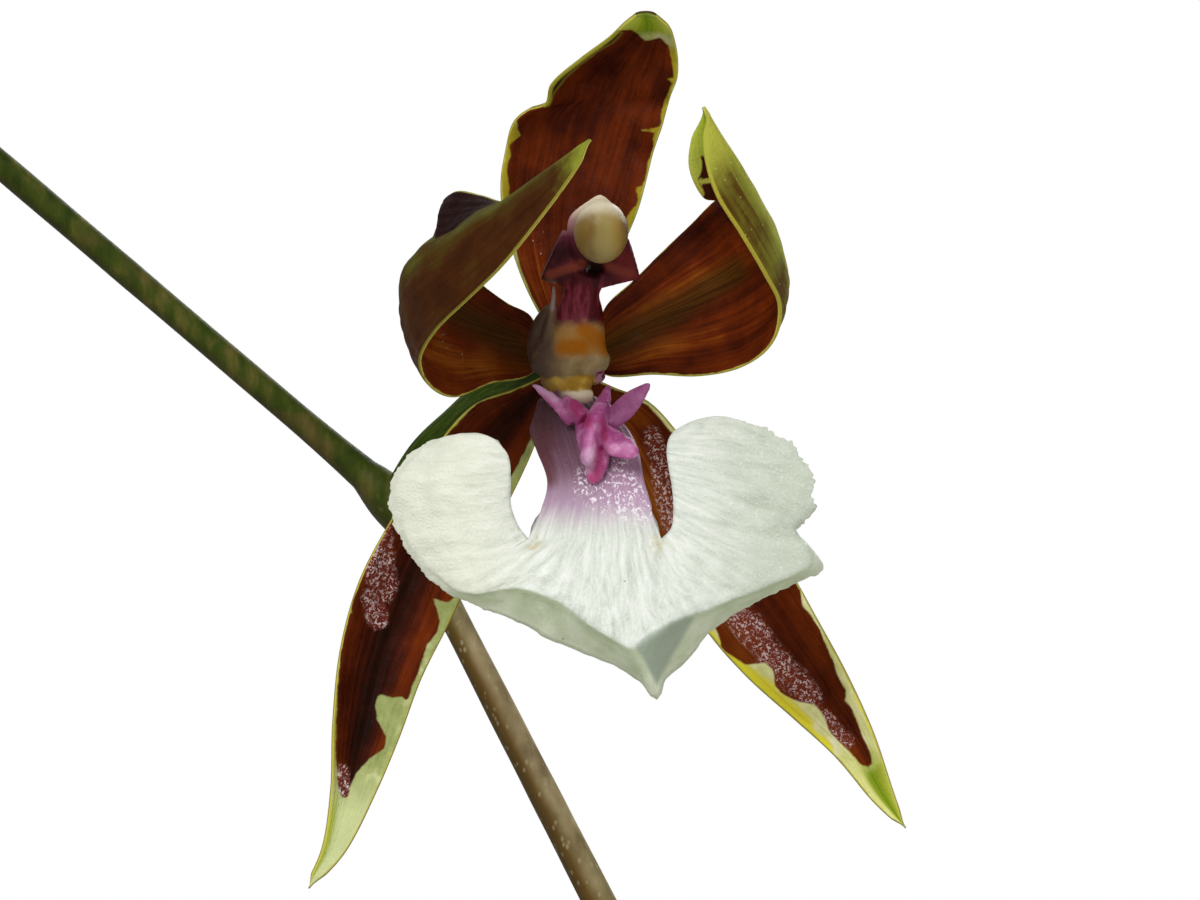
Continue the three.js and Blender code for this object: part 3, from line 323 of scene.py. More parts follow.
FEET = [(28.3, -12.7, 3.4), (39, -1, 5), (22, 9.5, 5)]
ROOTS = [
    [(-30, 0, 76), (-31, -9, 80.5), (-33, -18, 82), (-30, -27, 80), (-27, -33, 70)],
    [(-8, 0, 76), (-9, 10, 80.5), (-14, 20, 82.5), (-22, 27, 80), (-27, 30, 69)],
    [(8, 0, 76), (9, -10, 80.8), (4, -20, 83), (-4, -29, 80.5), (-7, -33, 70)],
    [(28, 0, 76), (33, 9, 80.5), (34, 18, 82.5), (28, 27, 80), (23, 32, 69)],
]


def uneven(points, size, seed):
    """A smooth random number between about -1 and 1 for each point, with lumps of the given size."""
    flat = np.asarray(points, float).reshape(-1, 3) / size + seed * 17.3
    return np.array([noise.noise(Vector(p)) for p in flat]).reshape(np.shape(points)[:-1])


def rounded_block(cuts):
    """A cube's surface split into a grid and rounded at its edges, from -1 to 1 each way."""
    work = bmesh.new()
    bmesh.ops.create_cube(work, size=2)
    bmesh.ops.subdivide_edges(work, edges=work.edges, cuts=cuts, use_grid_fill=True)
    points = np.array([v.co for v in work.verts])
    faces = [[v.index for v in face.verts] for face in work.faces]
    work.free()
    return points, faces


def lumpy(radius, height, angles):
    top = height > 70
    shake = np.sin(angles * 7 + radius) * 0.5 + np.sin(angles * 3 - radius * 0.7) * 0.6
    return radius - 0.4 * top, height - np.abs(shake) * top


plug = build("bark_packing", *turned(refined(BARK_PLUG, 2.5), 72, lumpy))
draw = random.Random(7)
block, block_faces = rounded_block(3)
all_points, all_faces, shades, ends = [], [], [], []
for k in range(CHIP_COUNT):
    turn = k * GOLDEN_ANGLE + draw.uniform(-0.3, 0.3)
    reach = CHIP_REACH * math.sqrt((k + 0.5) / CHIP_COUNT)
    x, y = reach * math.cos(turn), reach * math.sin(turn)
    length, breadth, height = (
        draw.uniform(*sizes) for sizes in (CHIP_LENGTHS, CHIP_BREADTHS, CHIP_HEIGHTS)
    )
    z = BARK_TOP + draw.uniform(*CHIP_LIFTS)
    sizes = np.array([length, breadth, height])
    tilt = [draw.gauss(0, 0.22), draw.gauss(0, 0.22), draw.uniform(0, 2 * math.pi)]
    shade, seed = draw.random(), draw.uniform(0, 50)
    wide = max(length, breadth) * 0.8
    if any(
        ((x - b["x"]) / (b["width"] / 2 + wide)) ** 2 + (y / (b["depth"] / 2 + wide)) ** 2 < 1
        for b in BULBS
    ):
        z -= BULB_HOLLOW
    if any(math.hypot(x - fx, y - fy) < r + wide for fx, fy, r in FEET):
        z -= FOOT_HOLLOW
    if any(min(math.hypot(x - px, y - py) for px, py, _ in line) < ROOT_CLEARANCE for line in ROOTS):
        z -= ROOT_HOLLOW
    if math.hypot(x, y) + wide > CHIP_EDGE:
        x, y = (c * (CHIP_EDGE - wide) / math.hypot(x, y) for c in (x, y))
    round_off = block / (1 + 0.16 * (block[:, [1]] ** 2 + block[:, [0]] ** 2 + block[:, [2]] ** 2 - 1))
    chip = round_off * sizes * (1 + 0.2 * uneven(block, 1.1, seed)[:, None])
    chip += (0.5 * uneven(chip, 1.6, seed + 3) + 0.4 * uneven(chip, 0.7, seed + 5))[:, None] * block * 0.7
    turn_chip = Matrix.Rotation(
        tilt[2], 3, "Z"
    ) @ Matrix.Rotation(tilt[1], 3, "Y") @ Matrix.Rotation(tilt[0], 3, "X")
    chip = chip @ np.array(turn_chip).T + (x, y, z)
    all_faces += [[v + len(block) * k for v in face] for face in block_faces]
    all_points.append(chip)
    shades.append(np.full(len(block), shade))
    ends.append(np.abs(block[:, 0]))
chips = build(
    "bark_chips", np.vstack(all_points), all_faces, {"shade": np.hstack(shades), "end": np.hstack(ends)}
)
chips.data.shade_flat()

bark = Finish("fir_bark")
spot = bark.place()
layers = bark.cloud(bark.stretch(spot, 0.5, 0.5, 2.6), 0.8, 6, 0.7)
brown = bark.stops(
    bark.painted("shade") * 0.62 + layers * 0.4, (0.15, "2c1a10"), (0.4, "553221"), (0.62, "7d5033"),
    (0.85, "a5764e")
)
brown = bark.mix(bark.step(bark.cloud(spot, 0.35, 4), 0.6, 0.75, 0, 0.4), brown, "39281c")
crust = bark.cloud(spot, 1.4, 8, 0.75)
bark_skin = bark.done(
    brown, bark.step(crust, 0.3, 0.7, 0.8, 0.98),
    bark.relief(crust, 0.7, 0.8, bark.relief(layers, 0.5, 0.5))
)
fit(plug, bark_skin, "bark", "bark_mix")
fit(chips, bark_skin, "bark", "bark_mix")

# The creeping stem and roots: a jointed stem that runs just under the bulbs, and white spongy-skinned roots
# that leave it, cross the bark and dive into it. The stem is what joins bulb to bulb.
RHIZOME_RADIUS = 3
RHIZOME = [(-38, 0, 76), (-19, 0.8, 77), (0, 0, 77), (17, -0.8, 77), (33, 0, 77)]
ROOT_RADIUS = 1.2


def run(points, shares):
    """Points at given shares along the smooth line through a few points, the curve that the solids follow."""
    points = np.asarray(points, float)
    place = np.clip(shares, 0, 1) * (len(points) - 1)
    first = np.minimum(place.astype(int), len(points) - 2)
    w = (place - first)[..., None]
    line = np.vstack([2 * points[0] - points[1], points, 2 * points[-1] - points[-2]])
    a, b, c, d = (line[first + k] for k in range(4))
    ab, bc, cd = (np.sum((p - q) ** 2, -1, keepdims=True) ** 0.25 for p, q in ((a, b), (b, c), (c, d)))
    bc = np.where(bc < 1e-4, 1, bc)
    ab = np.where(ab < 1e-4, bc, ab)
    cd = np.where(cd < 1e-4, bc, cd)
    start = ((b - a) / ab - (c - a) / (ab + bc) + (c - b) / bc) * bc
    end = ((c - b) / bc - (d - b) / (bc + cd) + (d - c) / cd) * bc
    return b + start * w + (3 * (c - b) - 2 * start - end) * w**2 + (2 * (b - c) + start + end) * w**3


def evenly(points, rings):
    """Evenly spaced points along that line."""
    shares = np.linspace(0, 1, 201)
    steps = np.linalg.norm(np.diff(run(points, shares), axis=0), axis=1)
    length = np.concatenate([[0], np.cumsum(steps)])
    return run(points, np.interp(np.linspace(0, length[-1], rings + 1), length, shares))


def eased(values, shares):
    """A number at each share of a short list, on a smooth curve through its entries."""
    values = np.asarray(values, float)
    place = np.clip(shares, 0, 1) * (len(values) - 1)
    first = np.minimum(place.astype(int), len(values) - 2)
    w = place - first
    line = np.concatenate([[2 * values[0] - values[1]], values, [2 * values[-1] - values[-2]]])
    a, b, c, d = (line[first + k] for k in range(4))
    return b + 0.5 * ((c - a) * w + (2 * a - 5 * b + 4 * c - d) * w**2 + (3 * b - 3 * c + d - a) * w**3)


def tube(centres, wide, deep, sides, across=(0, 1, 0), fluted=None):
    """A closed body along a list of points; wide and deep are its half sizes at each of them."""
    centres = np.asarray(centres, float)
    count = len(centres)
    wide, deep = (np.broadcast_to(np.asarray(v, float), count) for v in (wide, deep))
    angles = np.arange(sides) * 2 * math.pi / sides
    normal = np.array(across, float)
    points, shares, turns = [], [], []
    for k, centre in enumerate(centres):
        ahead = centres[min(k + 1, count - 1)] - centres[max(k - 1, 0)]
        ahead = ahead / np.linalg.norm(ahead)
        normal = normal - ahead * normal.dot(ahead)
        normal = normal / np.linalg.norm(normal)
        side = np.cross(ahead, normal)
        swell = fluted(k / (count - 1), angles)[:, None] if fluted else 1
        points.append(
            centre
            + swell * (
                deep[k] * np.cos(angles)[:, None] * normal + wide[k] * np.sin(angles)[:, None] * side
            )
        )
        shares.append(np.full(sides, k / (count - 1)))
        turns.append(angles)
    points = np.vstack([*points, centres[:1], centres[-1:]])
    painted = {"along": np.hstack([*shares, [0, 1]]), "around": np.hstack([*turns, [0, 0]])}
    return points, stacked(count, sides), painted


def joined(parts):
    """Several lists of points, faces and painted numbers as one."""
    points, faces, count = [], [], 0
    for part in parts:
        faces += [[v + count for v in face] for face in part[1]]
        points.append(part[0])
        count += len(part[0])
    painted = {key: np.hstack([part[2][key] for part in parts]) for key in parts[0][2]}
    return np.vstack(points), faces, painted


def blunt(rings, share=0.03):
    """Numbers that round off both ends of a tube."""
    s = np.linspace(0, 1, rings + 1)
    end = np.clip(np.minimum(s, 1 - s) / share, 0, 1)
    return np.sqrt(np.clip(1 - (1 - end) ** 2, 0.02, 1))


RHIZOME_RINGS, RHIZOME_SIDES = 90, 24
ROOT_RINGS, ROOT_SIDES = 60, 14
s = np.linspace(0, 1, RHIZOME_RINGS + 1)
joints = 1 + 0.07 * np.abs(np.sin(s * 31)) ** 6
thick = RHIZOME_RADIUS * joints * blunt(RHIZOME_RINGS)
stock = tube(evenly(RHIZOME, RHIZOME_RINGS), thick, thick, RHIZOME_SIDES)
creeping = build("creeping_stem", *stock)
threads = []
for n, line in enumerate(ROOTS):
    centres = evenly(line, ROOT_RINGS)
    thick = ROOT_RADIUS * (1 + 0.1 * uneven(centres, 3.0, n)) * blunt(ROOT_RINGS)
    threads.append(tube(centres + 0.15 * uneven(centres, 4.0, n + 5)[:, None], thick, thick, ROOT_SIDES))
roots = build("roots", *joined(threads))

velamen = Finish("root_skin")
spot = velamen.place()
grey = velamen.stops(velamen.cloud(spot, 0.35, 5), (0.3, "8f8d74"), (0.5, "b7b5a2"), (0.75, "d6d4c6"))
grey = velamen.mix(velamen.step(velamen.cloud(spot, 1.5, 4), 0.58, 0.7, 0, 0.5), grey, "7b6a4c")
pith = velamen.cloud(spot, 4, 5, 0.7)
root_skin = velamen.done(grey, velamen.step(pith, 0.2, 0.8, 0.6, 0.9), velamen.relief(pith, 0.12, 0.7))
fit(roots, root_skin, "root", "rhizome_roots")

scaly = Finish("creeping_stem_skin")
spot = scaly.place()
rings = scaly.cloud(scaly.stretch(spot, 1.4, 0.3, 0.3), 1, 4)
husky = scaly.stops(rings, (0.3, "4d3b22"), (0.5, "7a6238"), (0.7, "98854f"))
stem_skin = scaly.done(husky, scaly.step(rings, 0.3, 0.7, 0.55, 0.85), scaly.relief(rings, 0.4, 0.7))
fit(creeping, stem_skin, "root", "rhizome_roots")

# The pseudobulbs: flattened, furrowed water stores, one from each year's growth, green when young and
# yellower and more wrinkled with age. Each sits on the creeping stem and carries two leaves on its top.
BULB_FOOT = 80.4
BULB_OUTLINE = [0.64, 0.88, 0.99, 0.98, 0.89, 0.73, 0.52, 0.3]
BULB_RINGS, BULB_SIDES = 90, 96
CROWN_HEIGHTS = [-4.0, -2.6, -1.2, 0.0, 1.0, 1.8, 2.2]
CROWN_WIDE = [2.6, 3.6, 4.0, 4.0, 3.7, 2.9, 1.2]
CROWN_DEEP = [1.6, 2.3, 2.9, 3.3, 3.2, 2.6, 1.0]


def bulb_skin(bulb, s, angle, reach):
    """Points of a bulb's skin at a share of its height, stood off by reach."""
    breadth = eased(BULB_OUTLINE, s)
    edge = 1 + 0.05 * np.cos(2 * angle)
    x = (bulb["width"] / 2 * breadth * edge + reach) * np.cos(angle)
    y = (bulb["depth"] / 2 * breadth * edge + reach) * np.sin(angle)
    return bulb["x"] + x, y


def bulb_body(bulb):
    s = np.linspace(0, 1, BULB_RINGS + 1)[:, None] * np.ones(BULB_SIDES)
    angle = np.arange(BULB_SIDES) * 2 * math.pi / BULB_SIDES * np.ones((BULB_RINGS + 1, 1))
    closing = np.sqrt(np.clip(1 - np.clip((s - 0.95) / 0.05, 0, 1) ** 2, 0.01, 1))
    closing *= np.sqrt(np.clip(1 - np.clip((0.05 - s) / 0.05, 0, 1) ** 2 * 0.6, 0.01, 1))
    furrow = 0.35 + 0.45 * bulb["age"]
    depth = -furrow * np.abs(
        np.sin(3.5 * angle + 0.8 * np.sin(s * 3 + bulb["x"]))
    ) ** 6 * np.sin(math.pi * s) ** 0.5
    x, y = bulb_skin(bulb, s, angle, depth)
    x = bulb["x"] + (x - bulb["x"]) * closing
    y = y * closing
    points = np.stack([x, y, BULB_FOOT + bulb["height"] * s], -1).reshape(-1, 3)
    outward = np.stack([np.cos(angle), np.sin(angle), 0 * angle], -1).reshape(-1, 3)
    points += outward * (
        0.25 * uneven(points * (1, 1, 0.25), 2.2, bulb["x"]) * (0.3 + bulb["age"])
    )[:, None]
    points = np.vstack([points, [[bulb["x"], 0, BULB_FOOT], [bulb["x"], 0, BULB_FOOT + bulb["height"]]]])
    faces = stacked(BULB_RINGS + 1, BULB_SIDES)
    painted = {"along": np.hstack([s.ravel(), [0, 1]]), "around": np.hstack([angle.ravel(), [0, 0]])}
    top = np.array((bulb["x"], 0, BULB_FOOT + bulb["height"]))
    crown = tube([top + (0, 0, z) for z in CROWN_HEIGHTS], CROWN_WIDE, CROWN_DEEP, 32)
    crown[2]["along"][:] = 1
    return joined([(points, faces, painted), crown])


def bulb_finish(name, age):
    skin = Finish(name, Specular_IOR_Level=0.45)
    spot = skin.place()
    up = skin.painted("along")
    streak = skin.cloud(skin.stretch(spot, 0.9, 0.9, 0.08), 1, 5)
    young = skin.stops(streak, (0.3, "4f7426"), (0.5, "6d9438"), (0.72, "8fae4c"))
    old = skin.stops(streak, (0.3, "7c7a34"), (0.5, "a39a4b"), (0.72, "bfae62"))
    green = skin.mix(age * 0.75, young, old)
    green = skin.mix(skin.step(up, 0.0, 0.16, 0.8, 0.0), green, "8d7440")
    green = skin.mix(skin.step(up, 0.86, 1.0, 0, 0.7), green, "a8a35c")
    green = skin.mix(
        skin.step(skin.cloud(spot, 0.9, 4, 0.7), 0.63, 0.74, 0, 0.55 * age + 0.15), green, "5b4423"
    )
    speckle = skin.cells(spot, 2.6)
    green = skin.mix(skin.step(speckle, 0.1, 0.22, 0.35, 0.0), green, "b9c483")
    fine = skin.cloud(skin.stretch(spot, 1, 1, 0.2), 3, 5)
    return skin.done(green, skin.step(fine, 0.3, 0.7, 0.32, 0.55), skin.relief(fine, 0.12, 0.5))


for k, bulb in enumerate(BULBS, 1):
    piece = build(f"bulb_{k}", *bulb_body(bulb))
    fit(piece, bulb_finish(f"bulb_skin_{k}", bulb["age"]), "bulb", f"pseudobulb_{k}")

# The husks: dry papery scales, two to a bulb, left from the leaves that wrapped it while it grew. Each is
# rooted at the bulb's foot, clasps its narrow side and has a frayed tip.
HUSK_THICKNESS = 0.35
HUSK_STAND_OFF = 0.95
HUSK_ROWS, HUSK_COLUMNS = 48, 40


def sheet(surface, rows, columns, thickness, kept=None, relief=None, front=None):
    """A thin closed sheet. surface(s, t) gives its middle, s from 0 at the foot to 1 at the tip and t from -1
    to 1 across. Painted on it: along, across, edge (millimetres from the nearer margin) and back (0 or 1)."""
    s = np.linspace(0, 1, rows + 1)[:, None] * np.ones(columns + 1)
    t = np.linspace(-1, 1, columns + 1) * np.ones((rows + 1, 1))
    step = 1e-3
    middle = surface(s, t)
    ahead = surface(np.minimum(s + step, 1), t) - surface(np.maximum(s - step, 0), t)
    sideways = surface(s, np.minimum(t + step, 1)) - surface(s, np.maximum(t - step, -1))
    normal = np.cross(ahead, sideways)
    normal /= np.maximum(np.linalg.norm(normal, axis=-1, keepdims=True), 1e-9)
    width = np.linalg.norm(np.diff(middle, axis=1), axis=-1)
    reached = np.concatenate([np.zeros((rows + 1, 1)), np.cumsum(width, axis=1)], axis=1)
    edge = np.minimum(reached, reached[:, -1:] - reached)
    face_up = True if front is None else float(normal[rows // 6, columns // 2] @ np.array(front)) > 0
    if relief is not None:
        middle = middle + normal * ((1 if face_up else -1) * relief(s, t, middle, edge))[..., None]
    half = thickness / 2 * (0.4 + 0.6 * np.clip(edge / (1.2 * thickness), 0, 1) ** 0.5)[..., None]
    points = np.stack([middle + normal * half, middle - normal * half])
    count = (rows + 1) * (columns + 1)
    number = np.arange(count).reshape(rows + 1, columns + 1)
    has = np.zeros((rows + 2, columns + 2), bool)
    has[1:-1, 1:-1] = True if kept is None else [[kept(i, j) for j in range(columns)] for i in range(rows)]
    faces = []
    for i in range(rows):
        for j in range(columns):
            if not has[i + 1, j + 1]:
                continue
            a, b, c, d = number[i, j], number[i + 1, j], number[i + 1, j + 1], number[i, j + 1]
            faces += [(a, b, c, d), (a + count, d + count, c + count, b + count)]
            for beyond, p, q in (
                (has[i + 1, j], a, b), (has[i + 2, j + 1], b, c), (has[i + 1, j + 2], c, d),
                (has[i, j + 1], d, a)
            ):
                if not beyond:
                    faces.append((q, p, p + count, q + count))
    used = np.unique(np.array([v for face in faces for v in face]))
    renumber = np.zeros(2 * count, int)
    renumber[used] = np.arange(len(used))
    back = np.stack([np.full(s.shape, 0.0 if face_up else 1.0), np.full(s.shape, 1.0 if face_up else 0.0)])
    painted = {
        "along": np.stack([s, s]), "across": np.stack([t, t]), "edge": np.stack([edge, edge]), "back": back
    }
    painted = {key: numbers.ravel()[used] for key, numbers in painted.items()}
    return points.reshape(-1, 3)[used], [tuple(int(renumber[v]) for v in face) for face in faces], painted


def husk(bulb, side):
    start = 0 if side > 0 else math.pi

    def surface(s, t):
        fray = 0.05 * np.sin(t * 9 + bulb["x"]) * s**4 + 0.03 * np.sin(t * 23 + side) * s**6
        spread = math.radians(68) * (1 - 0.9 * s**1.6)
        angle = start + t * spread
        height = 0.03 + (0.62 + fray) * s
        x, y = bulb_skin(
            bulb, height, angle, HUSK_STAND_OFF + 0.8 * s * s + 0.25 * np.sin(5 * t + 3 * s) * s
        )
        return np.stack([x, y, BULB_FOOT + height * bulb["height"]], -1)

    def fibres(s, t, middle, edge):
        return 0.07 * np.sin(t * 42) + 0.1 * uneven(middle, 1.5, side + 2)

    return sheet(surface, HUSK_ROWS, HUSK_COLUMNS, HUSK_THICKNESS, relief=fibres)


papery = Finish("dry_husk")
fibre = papery.cloud(papery.span(papery.painted("across") * 14, papery.painted("along") * 2), 1, 5)
straw = papery.stops(fibre, (0.28, "6d5231"), (0.48, "a08358"), (0.7, "cbb284"))
straw = papery.mix(papery.step(papery.painted("along"), 0.55, 1.0, 0, 0.55), straw, "5d4227")
straw = papery.mix(papery.step(papery.cloud(papery.place(), 0.5, 4), 0.56, 0.68, 0, 0.5), straw, "4d3a26")
husk_skin = papery.done(straw, papery.step(fibre, 0.2, 0.8, 0.65, 0.92), papery.relief(fibre, 0.25, 0.7))
for k, bulb in enumerate(BULBS, 1):
    for side, hand in ((-1, "left"), (1, "right")):
        piece = build(f"husk_{k}_{hand}", *husk(bulb, side))
        fit(piece, husk_skin, "husk", f"sheath_{k}_{hand}")

# The leaves: leathery straps, folded where they leave the bulb's top and nearly flat beyond, that arch over
# under their own weight. Two shorter ones rise from the soil beside the newest bulb.
LEAF_THICKNESS = 0.55
LEAF_ROWS, LEAF_COLUMNS = 100, 38
LOW_LEAF_ROWS, LOW_LEAF_COLUMNS = 90, 36
SPINE_STEPS = 16
LEAF_SPREAD, LEAF_RAISE = 2.6, 0.7
LEAVES = [
    {"bulb": 0, "heading": 248, "length": 150, "width": 22, "rise": 70, "bend": 88},
    {"bulb": 0, "heading": 146, "length": 140, "width": 20, "rise": 76, "bend": 84},
    {"bulb": 1, "heading": 268, "length": 168, "width": 26, "rise": 74, "bend": 104},
    {"bulb": 1, "heading": 126, "length": 178, "width": 26, "rise": 76, "bend": 88},
    {"bulb": 2, "heading": 114, "length": 186, "width": 26, "rise": 78, "bend": 96},
    {"bulb": 2, "heading": -6, "length": 190, "width": 29, "rise": 72, "bend": 86},
]
SHEATH_LEAVES = [
    {"x": 39, "y": -1, "heading": -32, "length": 118, "width": 19, "rise": 66, "bend": 70},
    {"x": 22, "y": 9.5, "heading": 84, "length": 104, "width": 18, "rise": 70, "bend": 78},
]


def soft_step(low, high, value):
    w = np.clip((value - low) / (high - low), 0, 1)
    return w * w * (3 - 2 * w)


def strap(shape, foot):
    """The middle surface of a strap leaf that leaves its foot along its heading."""
    spine = [np.zeros(3)]
    for k in range(SPINE_STEPS):
        angle = math.radians(shape["rise"] - shape["bend"] * ((k + 0.5) / SPINE_STEPS) ** 1.25)
        spine.append(
            spine[-1] + np.array([math.cos(angle), 0, math.sin(angle)]) * shape["length"] / SPINE_STEPS
        )
    heading = math.radians(shape["heading"])
    turn = np.array(
        [[math.cos(heading), math.sin(heading), 0], [-math.sin(heading), math.cos(heading), 0], [0, 0, 1]]
    )

    def surface(s, t):
        breadth = np.minimum(1, 0.16 + 2.6 * s) * np.maximum(
            0.02, 1 - np.maximum(0, (s - 0.55) / 0.45) ** 2.4
        )
        half = shape["width"] / 2 * breadth
        fold = np.radians(26 - 13 * soft_step(0, 0.35, s))
        ahead = run(spine, np.minimum(s + 1e-4, 1)) - run(spine, np.maximum(s - 1e-4, 0))
        ahead /= np.linalg.norm(ahead, axis=-1, keepdims=True)
        up = np.stack([-ahead[..., 2], 0 * s, ahead[..., 0]], -1)
        t_round = np.sqrt(t * t + 0.0025)
        point = run(spine, s) + up * (t_round * half * np.sin(fold))[..., None]
        point[..., 1] += t * half * np.cos(fold)
        lift = 0.5 * t * t * np.sin(9 * s + 2 * np.sign(t) + shape["heading"]) * soft_step(0.1, 0.4, s)
        point = point + up * lift[..., None]
        return point @ turn + foot

    return surface


def leaf_ribs(s, t, middle, edge):
    keel = -0.25 * np.exp(-((t / 0.045) ** 2)) * (1 - s)
    ribs = 0.045 * np.cos(t * 2 * math.pi * 7) * soft_step(0, 0.1, 1 - np.abs(t))
    return keel + ribs + 0.08 * uneven(middle * (1, 1, 0.6), 9, 3)


def leaf_finish(name, deep, fresh, pale, wear):
    skin = Finish(name, Specular_IOR_Level=0.5)
    up, over = skin.painted("along"), skin.painted("across")
    away = skin.sum("ABSOLUTE", over)
    lines = skin.cloud(skin.span(over * 11, up * 3), 1, 4)
    green = skin.stops(lines, (0.3, deep), (0.5, fresh), (0.74, pale))
    green = skin.mix(skin.step(away, 0.0, 0.07, 0.55, 0.0), green, "a3b765")
    green = skin.mix(skin.painted("back") * 0.45, green, "7d9a52")
    green = skin.mix(skin.step(up, 0.0, 0.12, 0.7, 0.0), green, "b4b273")
    patches = skin.cloud(skin.place(), 0.11, 5, 0.6)
    green = skin.mix(skin.step(patches, 0.52, 0.72, 0, 0.35), green, "86a046")
    tip = up + patches * 0.08
    green = skin.mix(skin.step(tip, 0.995, 1.02, 0, wear), green, "c09a52")
    green = skin.mix(skin.step(tip, 1.015, 1.035, 0, wear), green, "5b3d22")
    specks = skin.cells(skin.place(), 0.55)
    green = skin.mix(skin.step(specks, 0.05, 0.09, 0.5 * wear, 0.0), green, "4b3a1c")
    fine = skin.cloud(skin.span(over * 60, up * 12), 1, 5)
    return skin.done(green, skin.step(fine, 0.3, 0.7, 0.3, 0.48), skin.relief(fine, 0.1, 0.6))


new_leaf = leaf_finish("leaf_green", "2f5a1d", "43762a", "5d8f38", 0.6)
old_leaf = leaf_finish("leaf_green_old", "46652a", "607c33", "86954a", 1.0)
for k, shape in enumerate(LEAVES, 1):
    bulb, heading = BULBS[shape["bulb"]], math.radians(shape["heading"])
    foot = np.array(
        [
            bulb["x"] + LEAF_SPREAD * math.cos(heading), LEAF_SPREAD * math.sin(heading),
            BULB_FOOT + bulb["height"] + LEAF_RAISE
        ]
    )
    piece = build(
        f"strap_leaf_{k}",
        *sheet(
            strap(shape, foot), LEAF_ROWS, LEAF_COLUMNS, LEAF_THICKNESS, relief=leaf_ribs, front=(0, 0, 1)
        )
    )
    fit(piece, old_leaf if shape["bulb"] == 0 else new_leaf, "leaf", f"leaf_{k}")
for k, shape in enumerate(SHEATH_LEAVES, 1):
    foot = np.array([shape["x"], shape["y"], BARK_TOP + LEAF_RAISE])
    piece = build(
        f"low_leaf_{k}",
        *sheet(
            strap(shape, foot), LOW_LEAF_ROWS, LOW_LEAF_COLUMNS, LEAF_THICKNESS, relief=leaf_ribs,
            front=(0, 0, 1)
        )
    )
    fit(piece, new_leaf, "leaf", f"sheath_leaf_{k}")

# The flower spike: one wiry stem that bends a little at each node and is clasped there by a pointed scale.
# From the upper nodes grow the flowers' stalks, which thicken into the ribbed ovary, and the buds' stalks.
SPIKE = [
    ((27, -11, 66), 2.3, 0), ((28.5, -13, 88), 2.3, 17), ((29.6, -16, 131.5), 1.9, 14),
    ((27.1, -18, 179.5), 1.6, 12),
    ((17.8, -19, 223.5), 1.3, 9), ((5.3, -20, 261.8), 1.0, 6), ((-10.2, -20, 292.1), 0.8, 0),
    ((-39.1, -20, 316.7), 0.8, 4), ((-55.1, -20, 344.4), 0.75, 3.5), ((-77.2, -20, 361.6), 0.65, 3),
    ((-89.9, -20, 382), 0.6, 3), ((-104.6, -20, 392.3), 0.5, 2.5), ((-110, -20, 401.5), 0.4, 0),
]
NODE_REACH, NODE_SWELLING = 2.2, 0.3
SHADED_FLANK = 1.3
SHOULDER_REACH, SHOULDER_SWELLING = 4.0, 0.26
BRACT_THICKNESS = 0.35
BRACT_ROWS, BRACT_COLUMNS = 26, 20
STEM_SIDES, STALK_SIDES = 48, 30
PEDICEL = [
    (-8.6, -5.3, -13.5), (-6.5, -3.3, -10.5), (-4.6, -1.9, -7.4), (-2.0, -0.8, -4.4), (-0.2, -0.1, -2.3),
    (0, 0, -1.25),
]
OVARY_RADIUS = 1.15
FIRST_FLOWER = {"node": 6, "heart": (0, -35, 300), "turn": 0, "nod": 0, "hand": 1}
LATER_FLOWERS = [
    {"name": "bloom_2", "node": 7, "heart": (-54, -36, 323), "turn": -28, "nod": 4, "hand": -1},
    {"name": "bloom_3", "node": 8, "heart": (-44, -37, 361), "turn": 14, "nod": -6, "hand": 1},
]
BUDS = [
    {"node": 9, "offset": (-8, -7, 9), "length": 8.4, "width": 4.6},
    {"node": 10, "offset": (7, -5, 9), "length": 7.2, "width": 4},
    {"node": 11, "offset": (-7, -3, 6), "length": 5.6, "width": 3.1},
    {"node": 12, "offset": (-2, -1, 5), "length": 4.2, "width": 2.3},
]


def spike_line():
    """The stem's middle line with a short round bend at each node, and its radius all the way."""
    nodes = [np.array(at, float) for at, _, _ in SPIKE]
    points, radii = [nodes[0]], [SPIKE[0][1]]
    for k in range(1, len(nodes) - 1):
        back, ahead = nodes[k - 1] - nodes[k], nodes[k + 1] - nodes[k]
        first = nodes[k] + back / np.linalg.norm(back) * NODE_REACH
        last = nodes[k] + ahead / np.linalg.norm(ahead) * NODE_REACH
        steps = max(2, round(np.linalg.norm(first - points[-1]) / 0.9))
        points += [
            points[-1] + (first - points[-1]) * (n + 1) / steps for n in range(steps)
        ] if k == 1 else []
        if k > 1:
            start = points[-1]
            points += [start + (first - start) * (n + 1) / steps for n in range(steps)]
        radii += [
            SPIKE[k][1] + (SPIKE[k - 1][1] - SPIKE[k][1]) * (1 - (n + 1) / steps) for n in range(steps)
        ]
        for w in np.linspace(0, 1, 9)[1:]:
            points.append(first * (1 - w) ** 2 + nodes[k] * 2 * w * (1 - w) + last * w * w)
            radii.append(SPIKE[k][1] + NODE_SWELLING * math.sin(math.pi * w))
    points.append(nodes[-1])
    radii.append(SPIKE[-1][1])
    return np.array(points), np.array(radii)


def placing(flower):
    """A flower's own frame, x to its right, y up and z towards the viewer, set in the plant's."""
    turn, nod = math.radians(flower["turn"]), math.radians(90 + flower["nod"])
    stand = Matrix.Rotation(turn, 3, "Z") @ Matrix.Rotation(nod, 3, "X")
    stand, heart = np.array(stand).T, np.array(flower["heart"], float)
    return lambda points: np.asarray(points, float) @ stand + heart


def stalk(points, thin, thick, rings=70, ribs=0.0):
    """A stalk that thickens towards its far end, with six ribs along the thick part."""
    s = np.linspace(0, 1, rings + 1)
    radius = (thin + (thick - thin) * soft_step(0.35, 0.8, s)) * (1 - 0.15 * soft_step(0.9, 1, s))

    def ribbed(share, angles):
        return 1 + ribs * (np.cos(angles * 6) - 1) * float(soft_step(0.45, 0.75, share))

    return tube(evenly(points, rings), radius, radius, STALK_SIDES, fluted=ribbed)


